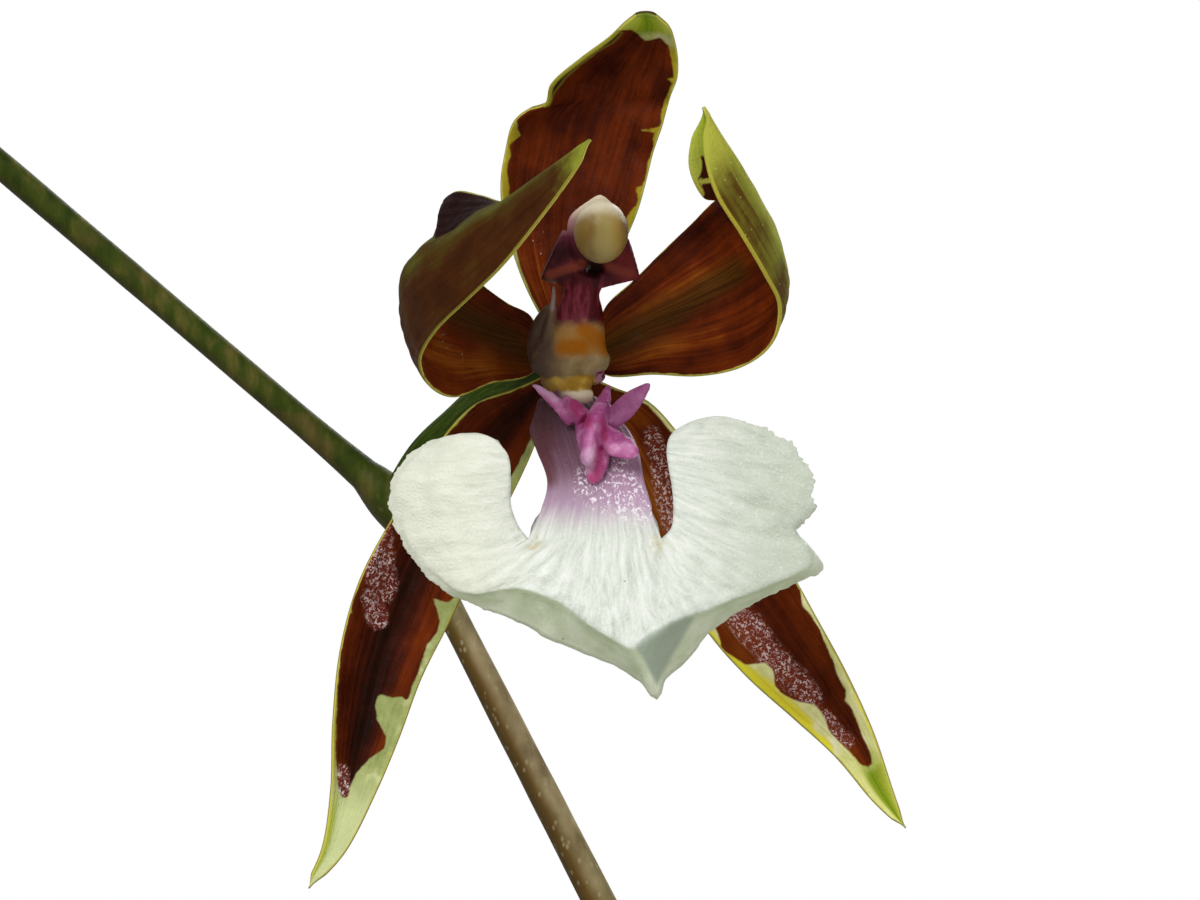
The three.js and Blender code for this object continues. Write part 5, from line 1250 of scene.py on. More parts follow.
def tepal_finish(name, marks):
    """Red-brown inside with lemon margins and a green tip, olive to brown outside, with painted light and
    shade.
    """
    skin = Finish(f"{name}_skin", Specular_IOR_Level=0.05)
    tip, side = marks["tip"], marks["side"]
    dim, light, bright, lemon = marks["pales"]
    up, over, back, tint, rim = (skin.painted(key) for key in ("along", "across", "back", "tone", "rim"))
    spot = skin.place()
    lengthwise = skin.span(over * 6, up * 2.2, back * 9)
    streak = skin.cloud(lengthwise, 1.7, 5, 0.6, 0.5) - 0.5
    hair = skin.cloud(skin.span(over * 30, up * 5), 1, 3)
    blotch = skin.cloud(spot, 0.45, 3) - 0.5
    mottle = streak * (0.65 if name == "petal_right" else 0.45) + blotch * 0.55
    # Painted light: along its streaks the brown is raised to a brighter, warmer tone where the petals are
    # lit, through the right one near its foot; on the sepals the same strokes give warmer streaks of their
    # own colour
    glow_and_warm_tone = skin.step(skin.painted("glow_and_warmth"), 0.0, 0.9, 0, 0.2) * skin.step(streak, -0.1, 0.1, 0.4, 1.0)
    shade = tint + mottle + glow_and_warm_tone
    brown = skin.stops(
        shade, (0.0, "1c0903"), (0.25, "401304"), (0.5, "6b2806"), (0.75, "8e4a10"), (1.0, "ac6e26")
    )
    brown = skin.mix(skin.step(hair, 0.46, 0.75, 0, 0.45), brown, "2a0b06")
    # Painted shade: the brown darkens to dark olive where the petals lie in shade, near the column and in
    # their curl
    brown = skin.mix(
        skin.step(skin.painted("painted_shade"), 0.0, 0.9, 0, 0.8), brown,
        skin.mix(skin.step(hair, 0.4, 0.6), "2a1c04", "4a3109")
    )
    wide = name.startswith("lateral")
    # Painted highlights: glints as sparks on the lateral sepals and as small dots elsewhere
    sparks = skin.step(
        skin.cloud(spot, 5.6, 2, 0.6, 0.9), 0.52, 0.6
    ) if wide else skin.step(skin.cells(spot, 2.9), 0.08, 0.16, 0.8, 0)
    broken = skin.step(skin.cloud(spot, 1.5, 2), 0.38, 0.5, 0.4, 1)
    # The glossy zone: painted glints and a painted sheen go in it, and its roughness is lower
    sheen_zone = skin.step(
        skin.painted("gloss") + blotch * 0.9, 0.08, 0.5
    ) * skin.step(skin.painted("gloss"), 0.0, 0.15)
    glint = sparks * broken * sheen_zone
    # Painted sheen: the lateral sepals' brown lighter and redder across the glossy zone; the glints painted
    # near white over it
    brown = skin.mix(sheen_zone * (0.45 if wide else 0.0), brown, "84382c")
    brown = skin.mix(glint * 0.85, brown, "dfc9c8")
    shake = skin.cloud(spot, 1.1, 4) - 0.5
    pale = skin.stops(
        skin.cloud(skin.stretch(spot, 1, 0.4, 1), 0.9, 4), (0.35, dim), (0.55, light), (0.75, bright)
    )
    pale = skin.mix(skin.step(skin.painted("lemon") + shake * 0.7, 0.05, 0.5), pale, lemon)
    green = skin.stops(
        skin.sum("ABSOLUTE", over) + streak * 0.8, (0.0, "6f8a16"), (0.45, "96a42a"), (1.0, "b4ba4c")
    )
    green = skin.mix(skin.step(up, 0.985, 1.0, 0, 0.6), green, "4f5f2c")
    greening = skin.step(up + shake * 0.06, tip - 0.03, tip + 0.03)
    if side:
        greening = greening * skin.step(over * side[0], side[1], side[2])
        pale = skin.mix(skin.step(up, tip - 0.08, tip + 0.03, 0, 0.75), pale, side[3])
    pale = skin.mix(greening, pale, green)
    inner = skin.mix(skin.step(skin.painted("brown") + shake * 0.3, -0.07, 0.06), pale, brown)
    inner = skin.mix(skin.step(rim + shake * 0.2, -0.03, 0.05), "bfb653", inner)
    # The right petal's outer face is painted lighter and yellower than the left one's, painted light where
    # more light falls on it; only it has pale dots
    mossy, fresh, dots = ("5a4413", "7e7f2c", 0.55) if name == "petal_right" else ("463710", "5a5a1d", 0)
    outer = skin.stops(
        shade, (0.0, "1c0804"), (0.3, "402007"), (0.5, mossy), (0.72, fresh), (1.0, "a3a540")
    )
    outer = skin.mix(skin.step(skin.cells(spot, 1.9), 0.05, 0.13, dots, 0.0), outer, "c9ca8e")
    outer = skin.mix(
        skin.step(rim, 0.0, 0.1, 0.95, 0.0), outer, "b5a83c" if name == "petal_right" else "8a8232"
    )
    if name.startswith("petal"):
        point = up + shake * 0.1
        outer = skin.mix(
            skin.step(point, tip - 0.07, tip + 0.05), outer, "84892e" if name == "petal_left" else "a5a63e"
        )
    fold = skin.painted("fold")
    # The rolled strip's olive on the top sepal; on the left petal its lobe painted near black, painted shade,
    # with a painted highlight of lighter olive along the lobe's edge
    rolled = skin.mix(
        skin.step(fold, 0.02, 0.2), "756626", "2e1c0a"
    ) if name == "dorsal_sepal" else skin.mix(skin.step(fold, 0.1, 0.3), "4f4a20", "1d0504")
    rolled = skin.mix(skin.step(skin.painted("edge"), 0.1, 0.2, 0.9, 0.0), rolled, "97902f")
    folded = skin.step(fold + shake * 0.2, -0.04, 0.06)
    colour = skin.mix(skin.step(back, 0.4, 0.6), inner, outer)
    colour = skin.mix(folded, colour, rolled)
    rough = skin.mix(sheen_zone, skin.step(skin.cloud(spot, 1.4, 4), 0.35, 0.65, 0.5, 0.7), (0.35, 0.35, 0.35, 1))
    ripple = skin.relief(skin.cloud(spot, 2.7, 2, 0.5, 0.8), 0.1, 0.5)
    relief = skin.relief(hair, 0.04, 0.5, skin.relief(skin.cells(spot, 6.5), 0.03, 0.5, ripple))
    return skin.done(colour, rough, relief)


finishes = {name: tepal_finish(name, marks) for name, marks in TEPALS.items()}
for name in TEPALS:
    fit(build(f"first_{name}", *tepal(name, FIRST_FLOWER, FIRST_FINENESS)), finishes[name], "tepal", name)

# The lip: one thin white blade shaped like an anchor on a lilac claw, its two lobes ruffled and its lower
# margin folded back to a keel. The claw is hinged under the column's foot.
LIP_THICKNESS = 0.34
FIRST_SPLIT, LATER_SPLIT = (16, 8), (6, 4)
CLAW_LEFT = [(-1.5, -2.2, 0.8), (-1.9, -3.9, 2.8), (-1.5, -5.3, 4.6), (-1.0, -7.2, 6.2), (-2.1, -10.1, 8.1)]
CLAW_RIGHT = [(1.8, -2.1, 0.8), (3.4, -3.8, 3.2), (4.0, -5.3, 4.8), (4.4, -7.2, 6.5), (5.4, -10.1, 8.3)]
CLAW_SWELL = 0.6
LEFT_LOBE_EDGE = [
    (-3.8, -4.5, 8.2), (-3.2, -5.4, 8.3), (-3.1, -6.7, 8.3), (-3.1, -8.1, 8.2), (-2.7, -9.3, 8.1),
    (-2.1, -10.1, 8.1),
]
RIGHT_LOBE_EDGE = [
    (5.4, -10.1, 8.3), (6.0, -9.4, 8.2), (6.1, -8.3, 8.1), (6.0, -7.1, 7.9), (5.8, -6.0, 7.7),
    (5.7, -5.1, 7.5),
    (5.8, -4.5, 7.3), (6.2, -3.9, 7.1),
]
BLADE = [  # the middle, crease and margin of each column, from the left lobe's top to the right one's
    [(-5.1, -4.1, 7.6), (-6.7, -4.3, 6.8), (-7.1, -4.4, 6.4)],
    [(-5.9, -5.4, 8.1), (-8.4, -5.6, 6.9), (-8.8, -5.5, 6.3)],
    [(-6.2, -6.9, 8.3), (-9.3, -7.0, 6.8), (-9.7, -7.0, 6.2)],
    [(-6.2, -8.4, 8.4), (-9.2, -8.6, 6.9), (-9.7, -8.7, 6.3)],
    [(-5.5, -10.0, 8.6), (-8.5, -10.2, 7.3), (-8.9, -10.4, 6.7)],
    [(-4.7, -11.3, 8.9), (-7.4, -11.7, 8.0), (-7.8, -11.9, 7.2)],
    [(-3.2, -11.7, 9.3), (-5.5, -12.9, 8.8), (-5.8, -13.3, 7.9)],
    [(-1.2, -11.7, 9.6), (-2.5, -12.7, 9.7), (-3.1, -14.3, 8.1)],
    [(0.5, -12.1, 9.9), (0.0, -13.6, 10.2), (-0.3, -15.8, 8.2)],
    [(2.0, -12.8, 10.2), (1.9, -15.0, 10.8), (2.6, -16.9, 8.6)],
    [(3.5, -13.2, 10.4), (3.9, -15.9, 11.3), (5.05, -18.0, 9.6)],
    [(5.0, -12.7, 10.1), (6.0, -14.6, 10.6), (6.2, -17.2, 8.8)],
    [(6.9, -11.9, 9.6), (8.7, -13.5, 9.9), (8.3, -14.9, 8.4)],
    [(8.4, -10.9, 9.2), (11.3, -12.5, 9.3), (11.1, -13.1, 8.4)],
    [(9.7, -10.1, 8.9), (13.6, -11.3, 8.8), (14.1, -11.6, 8.0)],
    [(9.7, -8.5, 8.6), (12.8, -9.6, 8.5), (13.1, -9.8, 8.0)],
    [(9.6, -7.0, 8.4), (13.2, -8.0, 8.9), (13.9, -8.0, 8.8)],
    [(9.5, -5.6, 8.2), (13.1, -6.1, 8.7), (13.6, -6.0, 8.6)],
    [(8.8, -4.3, 7.8), (11.8, -4.7, 8.3), (12.1, -4.3, 8.2)],
    [(7.8, -3.2, 7.3), (9.2, -3.2, 7.7), (9.7, -3.3, 7.8)],
]
CLAW_FROM, CLAW_TO = 5, 12
KEEL_AT = 10
NOTCH_AT = 15.05
CLAW_ROWS, BLADE_ROWS = 4, 4
LIP_ROWS = CLAW_ROWS + BLADE_ROWS + 1
SINUSES = [(-1.8, -10.3), (5.1, -10.3)]
KEEL_SHADE = [
    (3.72, -15.9), (4.7, -15.2), (5.9, -14.5), (7.4, -14.1), (6.6, -15.6), (5.8, -16.9), (5.1, -18.3),
    (4.4, -16.9)
]


def lip_surface(hand):
    """The lip's middle face: s from the claw's foot over the blade to the margin, t from lobe to lobe."""
    mirror = np.array((hand, 1, 1))
    left, right, left_edge, right_edge = (
        np.array(line) * mirror for line in (CLAW_LEFT, CLAW_RIGHT, LEFT_LOBE_EDGE, RIGHT_LOBE_EDGE)
    )
    blade = np.array(BLADE) * mirror
    last = len(BLADE) - 1

    def claw(s, t):
        w = ((t + 1) / 2)[..., None]
        point = run(left, s) * (1 - w) + run(right, s) * w
        point[..., 2] += CLAW_SWELL * s * (1 - t * t)
        return point

    def surface(s, t):
        column, row, share_across = (t + 1) / 2 * last, s * LIP_ROWS, (t + 1) / 2
        claw_t = np.clip(2 * (column - CLAW_FROM) / (CLAW_TO - CLAW_FROM) - 1, -1, 1)
        foot = claw(np.ones_like(s), claw_t)
        foot = np.where((column < CLAW_FROM)[..., None], run(left_edge, column / CLAW_FROM), foot)
        foot = np.where(
            (column > CLAW_TO)[..., None], run(right_edge, (column - CLAW_TO) / (last - CLAW_TO)), foot
        )
        middle, bend, margin = (run(blade[:, k], share_across) for k in range(3))
        share = np.clip((row - CLAW_ROWS) / BLADE_ROWS, 0, 1)[..., None]
        over = np.clip(row - CLAW_ROWS - BLADE_ROWS, 0, 1)[..., None]
        face = foot * (1 - share) * (
            1 - 2 * share
        ) + middle * 4 * share * (1 - share) + bend * share * (2 * share - 1)
        nibble = 0.05 * np.sin(share_across * 520) + 0.05 * np.sin(
            share_across * 733 + 2
        ) + 0.06 * np.sin(share_across * 190)
        ruffled = soft_step(11, 14, column) * (
            1 - soft_step(17, 19, column)
        ) * 0.12 * np.sin(share_across * 130)
        ruffled = ruffled + (1 - soft_step(4, 6, column)) * 0.1 * np.sin(share_across * 150)
        lobes = 1 - np.exp(-(((share_across - 0.5) / 0.16) ** 4))
        away = (margin - bend) / np.maximum(np.linalg.norm(margin - bend, axis=-1, keepdims=True), 1e-9)
        face = face + (margin - bend) * over + away * ((nibble + ruffled) * lobes)[..., None] * (
            over * 0.8 + 0.2 * share**6
        )
        crisp = np.exp(
            -np.abs((column - KEEL_AT) / 0.17) ** 1.2
        )[..., None] * (0.12 * share**3 + 0.92 * over)
        face = face + crisp * np.array((0.05 * hand, -0.85, 0.5))
        notch = 0.24 * np.exp(-(((column - 14.35) / 0.35) ** 2)) - 0.62 * np.exp(
            -(((column - NOTCH_AT) / 0.22) ** 2)
        )
        face = face + away * notch[..., None] * (0.35 * share**8 + 0.65 * over)
        on_claw = (row < CLAW_ROWS) & (column >= CLAW_FROM - 1e-9) & (column <= CLAW_TO + 1e-9)
        return np.where(on_claw[..., None], claw(np.clip(row / CLAW_ROWS, 0, 1), claw_t), face)

    return surface


def lip(flower, split, rows_split):
    """A flower's lip, painted with its rows, its columns, the zones of its colours and of painted shade and
    glints.
    """
    low, high = CLAW_FROM * split, CLAW_TO * split

    def kept(i, j):
        return i >= CLAW_ROWS * rows_split or low <= j < high

    def veined(s, t, middle, edge):
        row, column = s * LIP_ROWS, (t + 1) / 2 * (len(BLADE) - 1)
        rays = 0.035 * np.sin(
            column * 7.2 + 1.5 * np.sin(column)
        ) * soft_step(3.5, 6.5, row) * (1 - soft_step(7.5, 8, row))
        ruffle = 0.14 * uneven(middle, 1.4, 6) + 0.05 * uneven(middle, 0.5, 8)
        crease = -0.22 * np.exp(-(((column - 7.2) / 0.5) ** 2 + ((row - 7.3) / 0.7) ** 2))
        return rays + ruffle * soft_step(3, 5, row) + crease + 0.02 * np.cos(t * 90) * (
            1 - soft_step(3, 4.5, row)
        )

    points, faces, painted = sheet(
        lip_surface(flower["hand"]), LIP_ROWS * rows_split, (len(BLADE) - 1) * split, LIP_THICKNESS, kept,
        veined, (0, 0, 1)
    )
    spread = points[:, :2] * (flower["hand"], 1)
    column, row = (painted["across"] + 1) / 2 * (len(BLADE) - 1), painted["along"] * LIP_ROWS
    on_claw = soft_step(CLAW_FROM - 0.4, CLAW_FROM, column) * (
        1 - soft_step(CLAW_TO, CLAW_TO + 0.4, column)
    )
    painted.update(
        row=row, column=column, right=spread[:, 0], lilac=(1 - soft_step(2.6, 4.4, row)) * on_claw
    )
    painted["stain"] = np.min([np.linalg.norm(spread - sinus, axis=1) for sinus in SINUSES], axis=0)
    painted["shaded"] = inside(spread, KEEL_SHADE)
    # Painted shade at the claw's top left, then the glossy zone where painted glints go
    painted["painted_shade"] = near(spread, [(-1.6, -2.2, -1.4, -4.6, 1.6), (-1.4, -4.6, -1.0, -6.6, 0.9)])
    painted["gloss"] = near(spread, [(1.6, -7.0, 4.0, -8.3, 1.6), (3.2, -5.8, 3.9, -7.4, 0.8)])
    return placing(flower)(points), faces, painted


petal_white = Finish("lip_skin", Specular_IOR_Level=0.3)
w = petal_white
row, column, right, back = (w.painted(key) for key in ("row", "column", "right", "back"))
spot = w.place()
fan = w.span(w.painted("across") * 34, row * 0.7)
vein = w.cloud(fan, 1, 5, 0.68, 0.3)
sugar = w.cloud(spot, 6.5, 4, 0.7)
white = w.stops(vein, (0.3, "bbc3b6"), (0.5, "dadfd5"), (0.7, "eff1eb"))
white = w.mix(w.step(right, -1.0, -6.0, 0, 0.7), white, "dfe0cb")
# Painted shade: the right lobe greyer and darker towards its far side, where it turns from the light
white = w.mix(w.step(right, 5.0, 12.5, 0, 0.75), white, "b7bfab")
white = w.mix(w.step(sugar, 0.52, 0.66, 0, 0.35), white, "eff0e8")
# Painted glints: tiny near-white dots over the lip
white = w.mix(w.step(w.cells(spot, 2.4), 0.04, 0.09, 0.7, 0.0), white, "fbfcf6")
white = w.mix(w.step(w.cloud(spot, 0.55, 4), 0.5, 0.7, 0, 0.25), white, "bcc6b4")
stain = w.step(w.painted("stain"), 0.0, 0.8, 1, 0) * w.step(w.cloud(spot, 2.2, 3), 0.35, 0.6)
white = w.mix(stain * 0.6, white, "b8a562")
# Painted shade: the margin folded back under the blade is painted grey-green where it turns from the light,
# darker along the crease, with a lighter painted highlight along its edge
folding = w.step(row, 7.96, 8.06) * (w.step(column, 5.2, 6.2) * w.step(column, 13.4, 15, 1, 0))
fold = w.stops(
    w.cloud(w.stretch(spot, 1, 1, 0.4), 0.7, 4), (0.3, "b4bf9c"), (0.55, "c9d1b5"), (0.8, "dbe0ca")
)
fold = w.mix(w.step(row, 7.95, 8.3, 0.6, 0), fold, "98a681")
fold = w.mix(w.step(row, 8.7, 9.0, 0, 0.5), fold, "dfe3cf")
white = w.mix(folding, white, fold)
white = w.mix(w.step(w.painted("shaded"), -0.12, 0.25) * 0.8, white, "8f9b8b")
# Painted shade: the claw's lilac is darker on its left and lighter to its right; it pales towards the blade
lilac = w.stops(
    w.cloud(w.span(w.painted("across") * 60, row * 0.8), 1, 3), (0.3, "74505f"), (0.5, "7d5a6b"),
    (0.7, "8b6a7c")
)
lilac = w.mix(w.step(right, 0.9, 3.8, 0, 0.6), lilac, "b98fb0")
lilac = w.mix(w.step(row, 2.3, 3.6, 0, 0.6), lilac, "c9aec8")
# Painted shade: dark mauve-brown at the claw's top left
lilac = w.mix(w.step(w.painted("painted_shade"), 0.0, 0.9, 0, 0.85), lilac, "623438")
# Painted glints: short white dashes in the claw's glossy zone
dashes = w.step(w.cloud(w.stretch(spot, 1, 1, 0.4), 5.5, 2, 0.6, 0.6), 0.52, 0.59)
sheen_zone = w.step(w.painted("gloss") + (vein - 0.5) * 0.8, 0.1, 0.5)
painted_glints = dashes * w.step(w.cloud(spot, 1.6, 2), 0.38, 0.5, 0.2, 1) * sheen_zone
lilac = w.mix(painted_glints * 0.9, lilac, "f7eef6")
ragged = w.painted("lilac") + (w.cloud(fan, 1.4, 3) - 0.5) * 0.5
white = w.mix(w.step(ragged, 0.12, 0.72), white, lilac)
specks = w.step(w.cells(spot, 0.42), 0.02, 0.035, 0.6, 0.0)
white = w.mix(specks, white, "6b5a4a")
white = w.mix(back * 0.3, white, "cfd6bf")
grain = w.relief(w.cells(spot, 5.5), 0.05, 0.5, w.relief(sugar, 0.08, 0.6))
lip_relief = w.relief(vein, 0.1, 0.7, grain)
lip_finish = w.done(white, w.step(vein, 0.3, 0.7, 0.42, 0.58), lip_relief)
fit(build("first_lip", *lip(FIRST_FLOWER, *FIRST_SPLIT)), lip_finish, "lip", "lip")

# The crest: soft magenta ridges that stand on the claw in front of the column, grown together at their
# feet and free at their pale tips: a middle ridge, two wings, a short lobe, a tongue and their mound.
CREST_RINGS, CREST_SIDES = 30, 18
CREST_GRAIN, LATER_GRAIN = 0.07, 0.14
CREST = [
    (
        [(2.45, -1.3, 3.4), (2.1, -2.4, 4.4), (1.65, -3.7, 5.8), (1.35, -4.8, 7.0), (1.25, -5.75, 7.9)],
        [0.12, 0.44, 0.6, 0.52, 0.4], [0.12, 0.6, 1.1, 1.1, 0.6]
    ),
    (
        [(0.5, -3.5, 3.9), (-0.5, -2.4, 3.9), (-1.25, -1.75, 3.9), (-1.9, -1.29, 4.0)],
        [0.45, 0.42, 0.3, 0.1], [0.5, 0.32, 0.22, 0.12]
    ),
    ([(1.1, -3.4, 4.6), (0.45, -2.6, 4.2), (-0.1, -1.95, 3.9)], [0.5, 0.42, 0.15], [0.7, 0.6, 0.2]),
    (
        [(2.3, -3.6, 4.6), (3.3, -2.7, 4.9), (4.1, -1.9, 5.2), (4.75, -1.25, 5.3)],
        [0.45, 0.74, 0.62, 0.16], [0.4, 0.28, 0.22, 0.12]
    ),
    (
        [(1.9, -4.0, 5.2), (2.75, -4.6, 6.2), (3.45, -5.0, 6.8), (4.1, -5.3, 7.1)],
        [0.55, 0.76, 0.78, 0.34], [0.7, 0.5, 0.3, 0.14]
    ),
    (
        [(1.2, -3.0, 2.9), (1.5, -4.3, 4.6), (1.75, -5.6, 6.2), (1.5, -6.95, 7.0)], [0.7, 0.9, 0.75, 0.4],
        [0.6, 0.8, 0.6, 0.25]
    ),
]


def grown_together(parts, grain, smoothing=2):
    """Points and faces of several closed bodies grown into one soft body."""
    lump = build("lump", *joined(parts)[:2])
    melt = lump.modifiers.new("melt", "REMESH")
    melt.mode, melt.voxel_size = "VOXEL", grain * MM
    soften = lump.modifiers.new("soften", "SMOOTH")
    soften.factor, soften.iterations = 0.5, smoothing
    settle(lump)
    points = np.array([v.co for v in lump.data.vertices]) / MM
    faces = [tuple(face.vertices) for face in lump.data.polygons]
    bpy.data.objects.remove(lump)
    return points, faces


def crest(flower, grain):
    """The ridges in one body, painted with the zones of their colours."""
    mirror = np.array((flower["hand"], 1, 1))
    parts = []
    for line, wide, tall in CREST:
        s = np.linspace(0, 1, CREST_RINGS + 1)
        close = blunt(CREST_RINGS, 0.1)
        centres = evenly(np.array(line) * mirror, CREST_RINGS)
        parts.append(
            tube(centres, eased(wide, s) * close, eased(tall, s) * close, CREST_SIDES, (0, 0.6, 0.8))
        )
    points, faces = grown_together(parts, grain)
    points = points + 0.05 * uneven(points, 0.6, 2)[:, None] + 0.035 * uneven(points, 0.25, 5)[:, None]
    spread = points[:, :2] * (flower["hand"], 1)
    painted = {
        "deep": near(
            spread, [(0.4, -2.5, 1.2, -3.4, 0.6), (1.9, -5.2, 1.6, -6.6, 0.7), (2.1, -3.4, 2.2, -4.4, 0.35)]
        ),
        "pale": near(
            spread,
            [(1.35, -5.2, 1.2, -6.0, 0.6), (-0.6, -2.0, -2.1, -1.0, 0.45), (4.0, -5.5, 4.4, -5.3, 0.3)]
        ),
        "mauve": near(spread, [(3.0, -3.0, 4.8, -1.5, 0.9)]),
    }
    return placing(flower)(points), faces, painted


ridges = Finish("crest_skin", Specular_IOR_Level=0.25)
spot = ridges.place()
tint = ridges.cloud(spot, 1.1, 4)
magenta = ridges.stops(tint, (0.3, "8f3a70"), (0.5, "b05a90"), (0.7, "cf93bb"))
magenta = ridges.mix(ridges.step(ridges.painted("mauve"), 0.0, 0.6, 0, 0.8), magenta, "8a4a75")
magenta = ridges.mix(ridges.step(ridges.painted("deep"), 0.0, 0.8, 0, 0.8), magenta, "a0255f")
magenta = ridges.mix(ridges.step(ridges.painted("pale"), 0.0, 0.9, 0, 0.75), magenta, "d3abc9")
velvet = ridges.cloud(spot, 5, 4)
crest_finish = ridges.done(
    magenta, ridges.step(tint, 0.3, 0.7, 0.35, 0.5), ridges.relief(velvet, 0.06, 0.6)
)
fit(build("first_crest", *crest(FIRST_FLOWER, CREST_GRAIN)), crest_finish, "crest", "lip_crest")

# The column: the flower's short fleshy post, with a broad cream foot that has orange patches above and a
# yellow bulge below, a purple neck, and a dark hood whose wings flank the sticky hollow under the cap.
COLUMN_LINE = [
    (0.0, 0.1, 0.35), (0.1, 0.2, 1.5), (0.3, 0.7, 2.7), (0.6, 1.6, 3.8), (0.8, 2.6, 4.7), (0.9, 3.8, 5.5),
    (1.3, 5.1, 6.2),
]
COLUMN_GRAIN = 0.085
COLUMN_RINGS, COLUMN_SIDES, LUMP_SIDES = 40, 40, 24
COLUMN_WIDE = [1.1, 1.6, 1.9, 1.6, 1.3, 1.0, 1.1]
COLUMN_DEEP = [1.1, 1.4, 1.4, 1.2, 1.0, 0.9, 0.9]
# The foot, its left flank, the yellow bulge, the cream one, the spotted side, the fin and the cap's film
COLUMN_LUMPS = [
    (
        [(0.25, -1.0, 2.3), (0.25, -0.2, 2.7), (0.25, 0.6, 3.0), (0.5, 1.5, 3.6), (0.75, 2.4, 4.3)],
        [1.5, 2.25, 2.15, 1.7, 1.25], [0.7, 1.0, 1.1, 1.1, 1.0]
    ),
    (
        [(-0.8, -0.4, 2.0), (-1.15, 0.8, 2.6), (-1.15, 2.0, 3.4), (-0.85, 3.1, 4.4)], [1.1, 1.1, 0.8, 0.3],
        [0.8, 0.8, 0.6, 0.3]
    ),
    (
        [(-1.3, -1.05, 2.3), (-0.3, -1.2, 2.9), (0.6, -1.3, 3.2), (1.4, -1.1, 2.9)], [0.35, 0.55, 0.6, 0.4],
        [0.5, 0.7, 0.8, 0.5]
    ),
    (
        [(-1.3, -1.85, 2.2), (-0.3, -1.85, 2.9), (0.7, -1.95, 3.5), (1.5, -1.85, 3.2)],
        [0.35, 0.45, 0.55, 0.4], [0.4, 0.5, 0.6, 0.4]
    ),
    ([(1.2, -0.95, 2.4), (1.7, -0.95, 2.5), (2.15, -0.85, 2.2)], [0.3, 0.36, 0.16], [0.4, 0.4, 0.3]),
    (
        [(-1.1, 1.2, 3.7), (-0.86, 2.3, 4.6), (-0.68, 3.4, 5.3), (-0.68, 4.3, 5.8)],
        [0.34, 0.27, 0.18, 0.07], [0.4, 0.35, 0.22, 0.1]
    ),
    (
        [(1.7, 5.4, 6.7), (1.75, 6.6, 7.1), (1.85, 7.8, 7.5), (1.95, 9.3, 8.2)], [1.3, 1.66, 1.6, 0.15],
        [0.5, 0.5, 0.4, 0.2]
    ),
]
COLUMN_WINGS = [
    [
        [(0.7, 3.9, 5.9), (1.1, 5.0, 6.4), (1.3, 6.0, 6.6)],
        [(-0.4, 4.3, 6.2), (-0.1, 5.6, 6.6), (0.4, 6.9, 6.8)],
        [(-1.4, 4.6, 6.4), (-0.85, 5.9, 6.8), (-0.1, 7.4, 7.1)],
    ],
    [
        [(1.2, 3.9, 5.9), (1.4, 5.0, 6.4), (1.5, 6.0, 6.6)],
        [(2.8, 4.3, 6.2), (2.9, 5.6, 6.6), (3.0, 6.9, 6.8)],
        [(4.2, 4.65, 6.4), (3.9, 5.6, 6.8), (3.5, 6.9, 7.0)],
    ],
]
STIGMA = (1.75, 5.25, 7.3)


def column(flower, grain):
    """The post and its wings in one body, hollowed at the stigma."""
    mirror = np.array((flower["hand"], 1, 1))
    s = np.linspace(0, 1, COLUMN_RINGS + 1)
    centres = evenly(np.array(COLUMN_LINE) * mirror, COLUMN_RINGS)
    post = tube(centres, eased(COLUMN_WIDE, s), eased(COLUMN_DEEP, s), COLUMN_SIDES)
    close = blunt(COLUMN_RINGS, 0.05)
    parts = [(*post[:2], {})]
    for line, wide, deep in COLUMN_LUMPS:
        centres = evenly(np.array(line) * mirror, COLUMN_RINGS)
        lump = tube(centres, eased(wide, s) * close, eased(deep, s) * close, LUMP_SIDES, (0, 0.3, 0.95))
        parts.append((*lump[:2], {}))
    for rows in COLUMN_WINGS:
        parts.append((*sheet(through(rows, flower["hand"]), 24, 20, 0.6)[:2], {}))
    points, faces = grown_together(parts, grain)
    hollow = np.linalg.norm((points - np.array(STIGMA) * mirror) / (0.48, 0.38, 1.6), axis=1)
    points[:, 2] -= 0.4 * np.exp(-(hollow**4))
    spread = points[:, :2] * (flower["hand"], 1)
    painted = {
        "height": points[:, 1], "right": spread[:, 0], "out": points[:, 2], "hollow": hollow,
        "orange": near(spread, [(0.1, 1.4, 2.1, 1.35, 1.0), (0.4, 0.75, 2.1, 0.7, 0.5)]),
        "amber": near(spread, [(-0.1, 0.75, 0.9, 0.85, 0.8), (1.1, 1.75, 2.2, 0.9, 0.85)]),
        "ridge": near(spread, [(-0.9, 4.85, 0.9, 5.4, 0.4), (2.4, 5.3, 3.6, 4.9, 0.4)]),
        "fin": near(spread, [(-0.74, 3.0, -0.67, 4.2, 0.34)]),
    }
    return placing(flower)(points), faces, painted


post = Finish("column_skin", Specular_IOR_Level=0.1)
up, right = post.painted("height"), post.painted("right")
spot = post.place()
wobble = (post.cloud(spot, 1.3, 4) - 0.5) * 0.8
shift = up + wobble
cream = post.stops(post.cloud(spot, 0.9, 4), (0.35, "806e4b"), (0.55, "9c875e"), (0.75, "baa67c"))
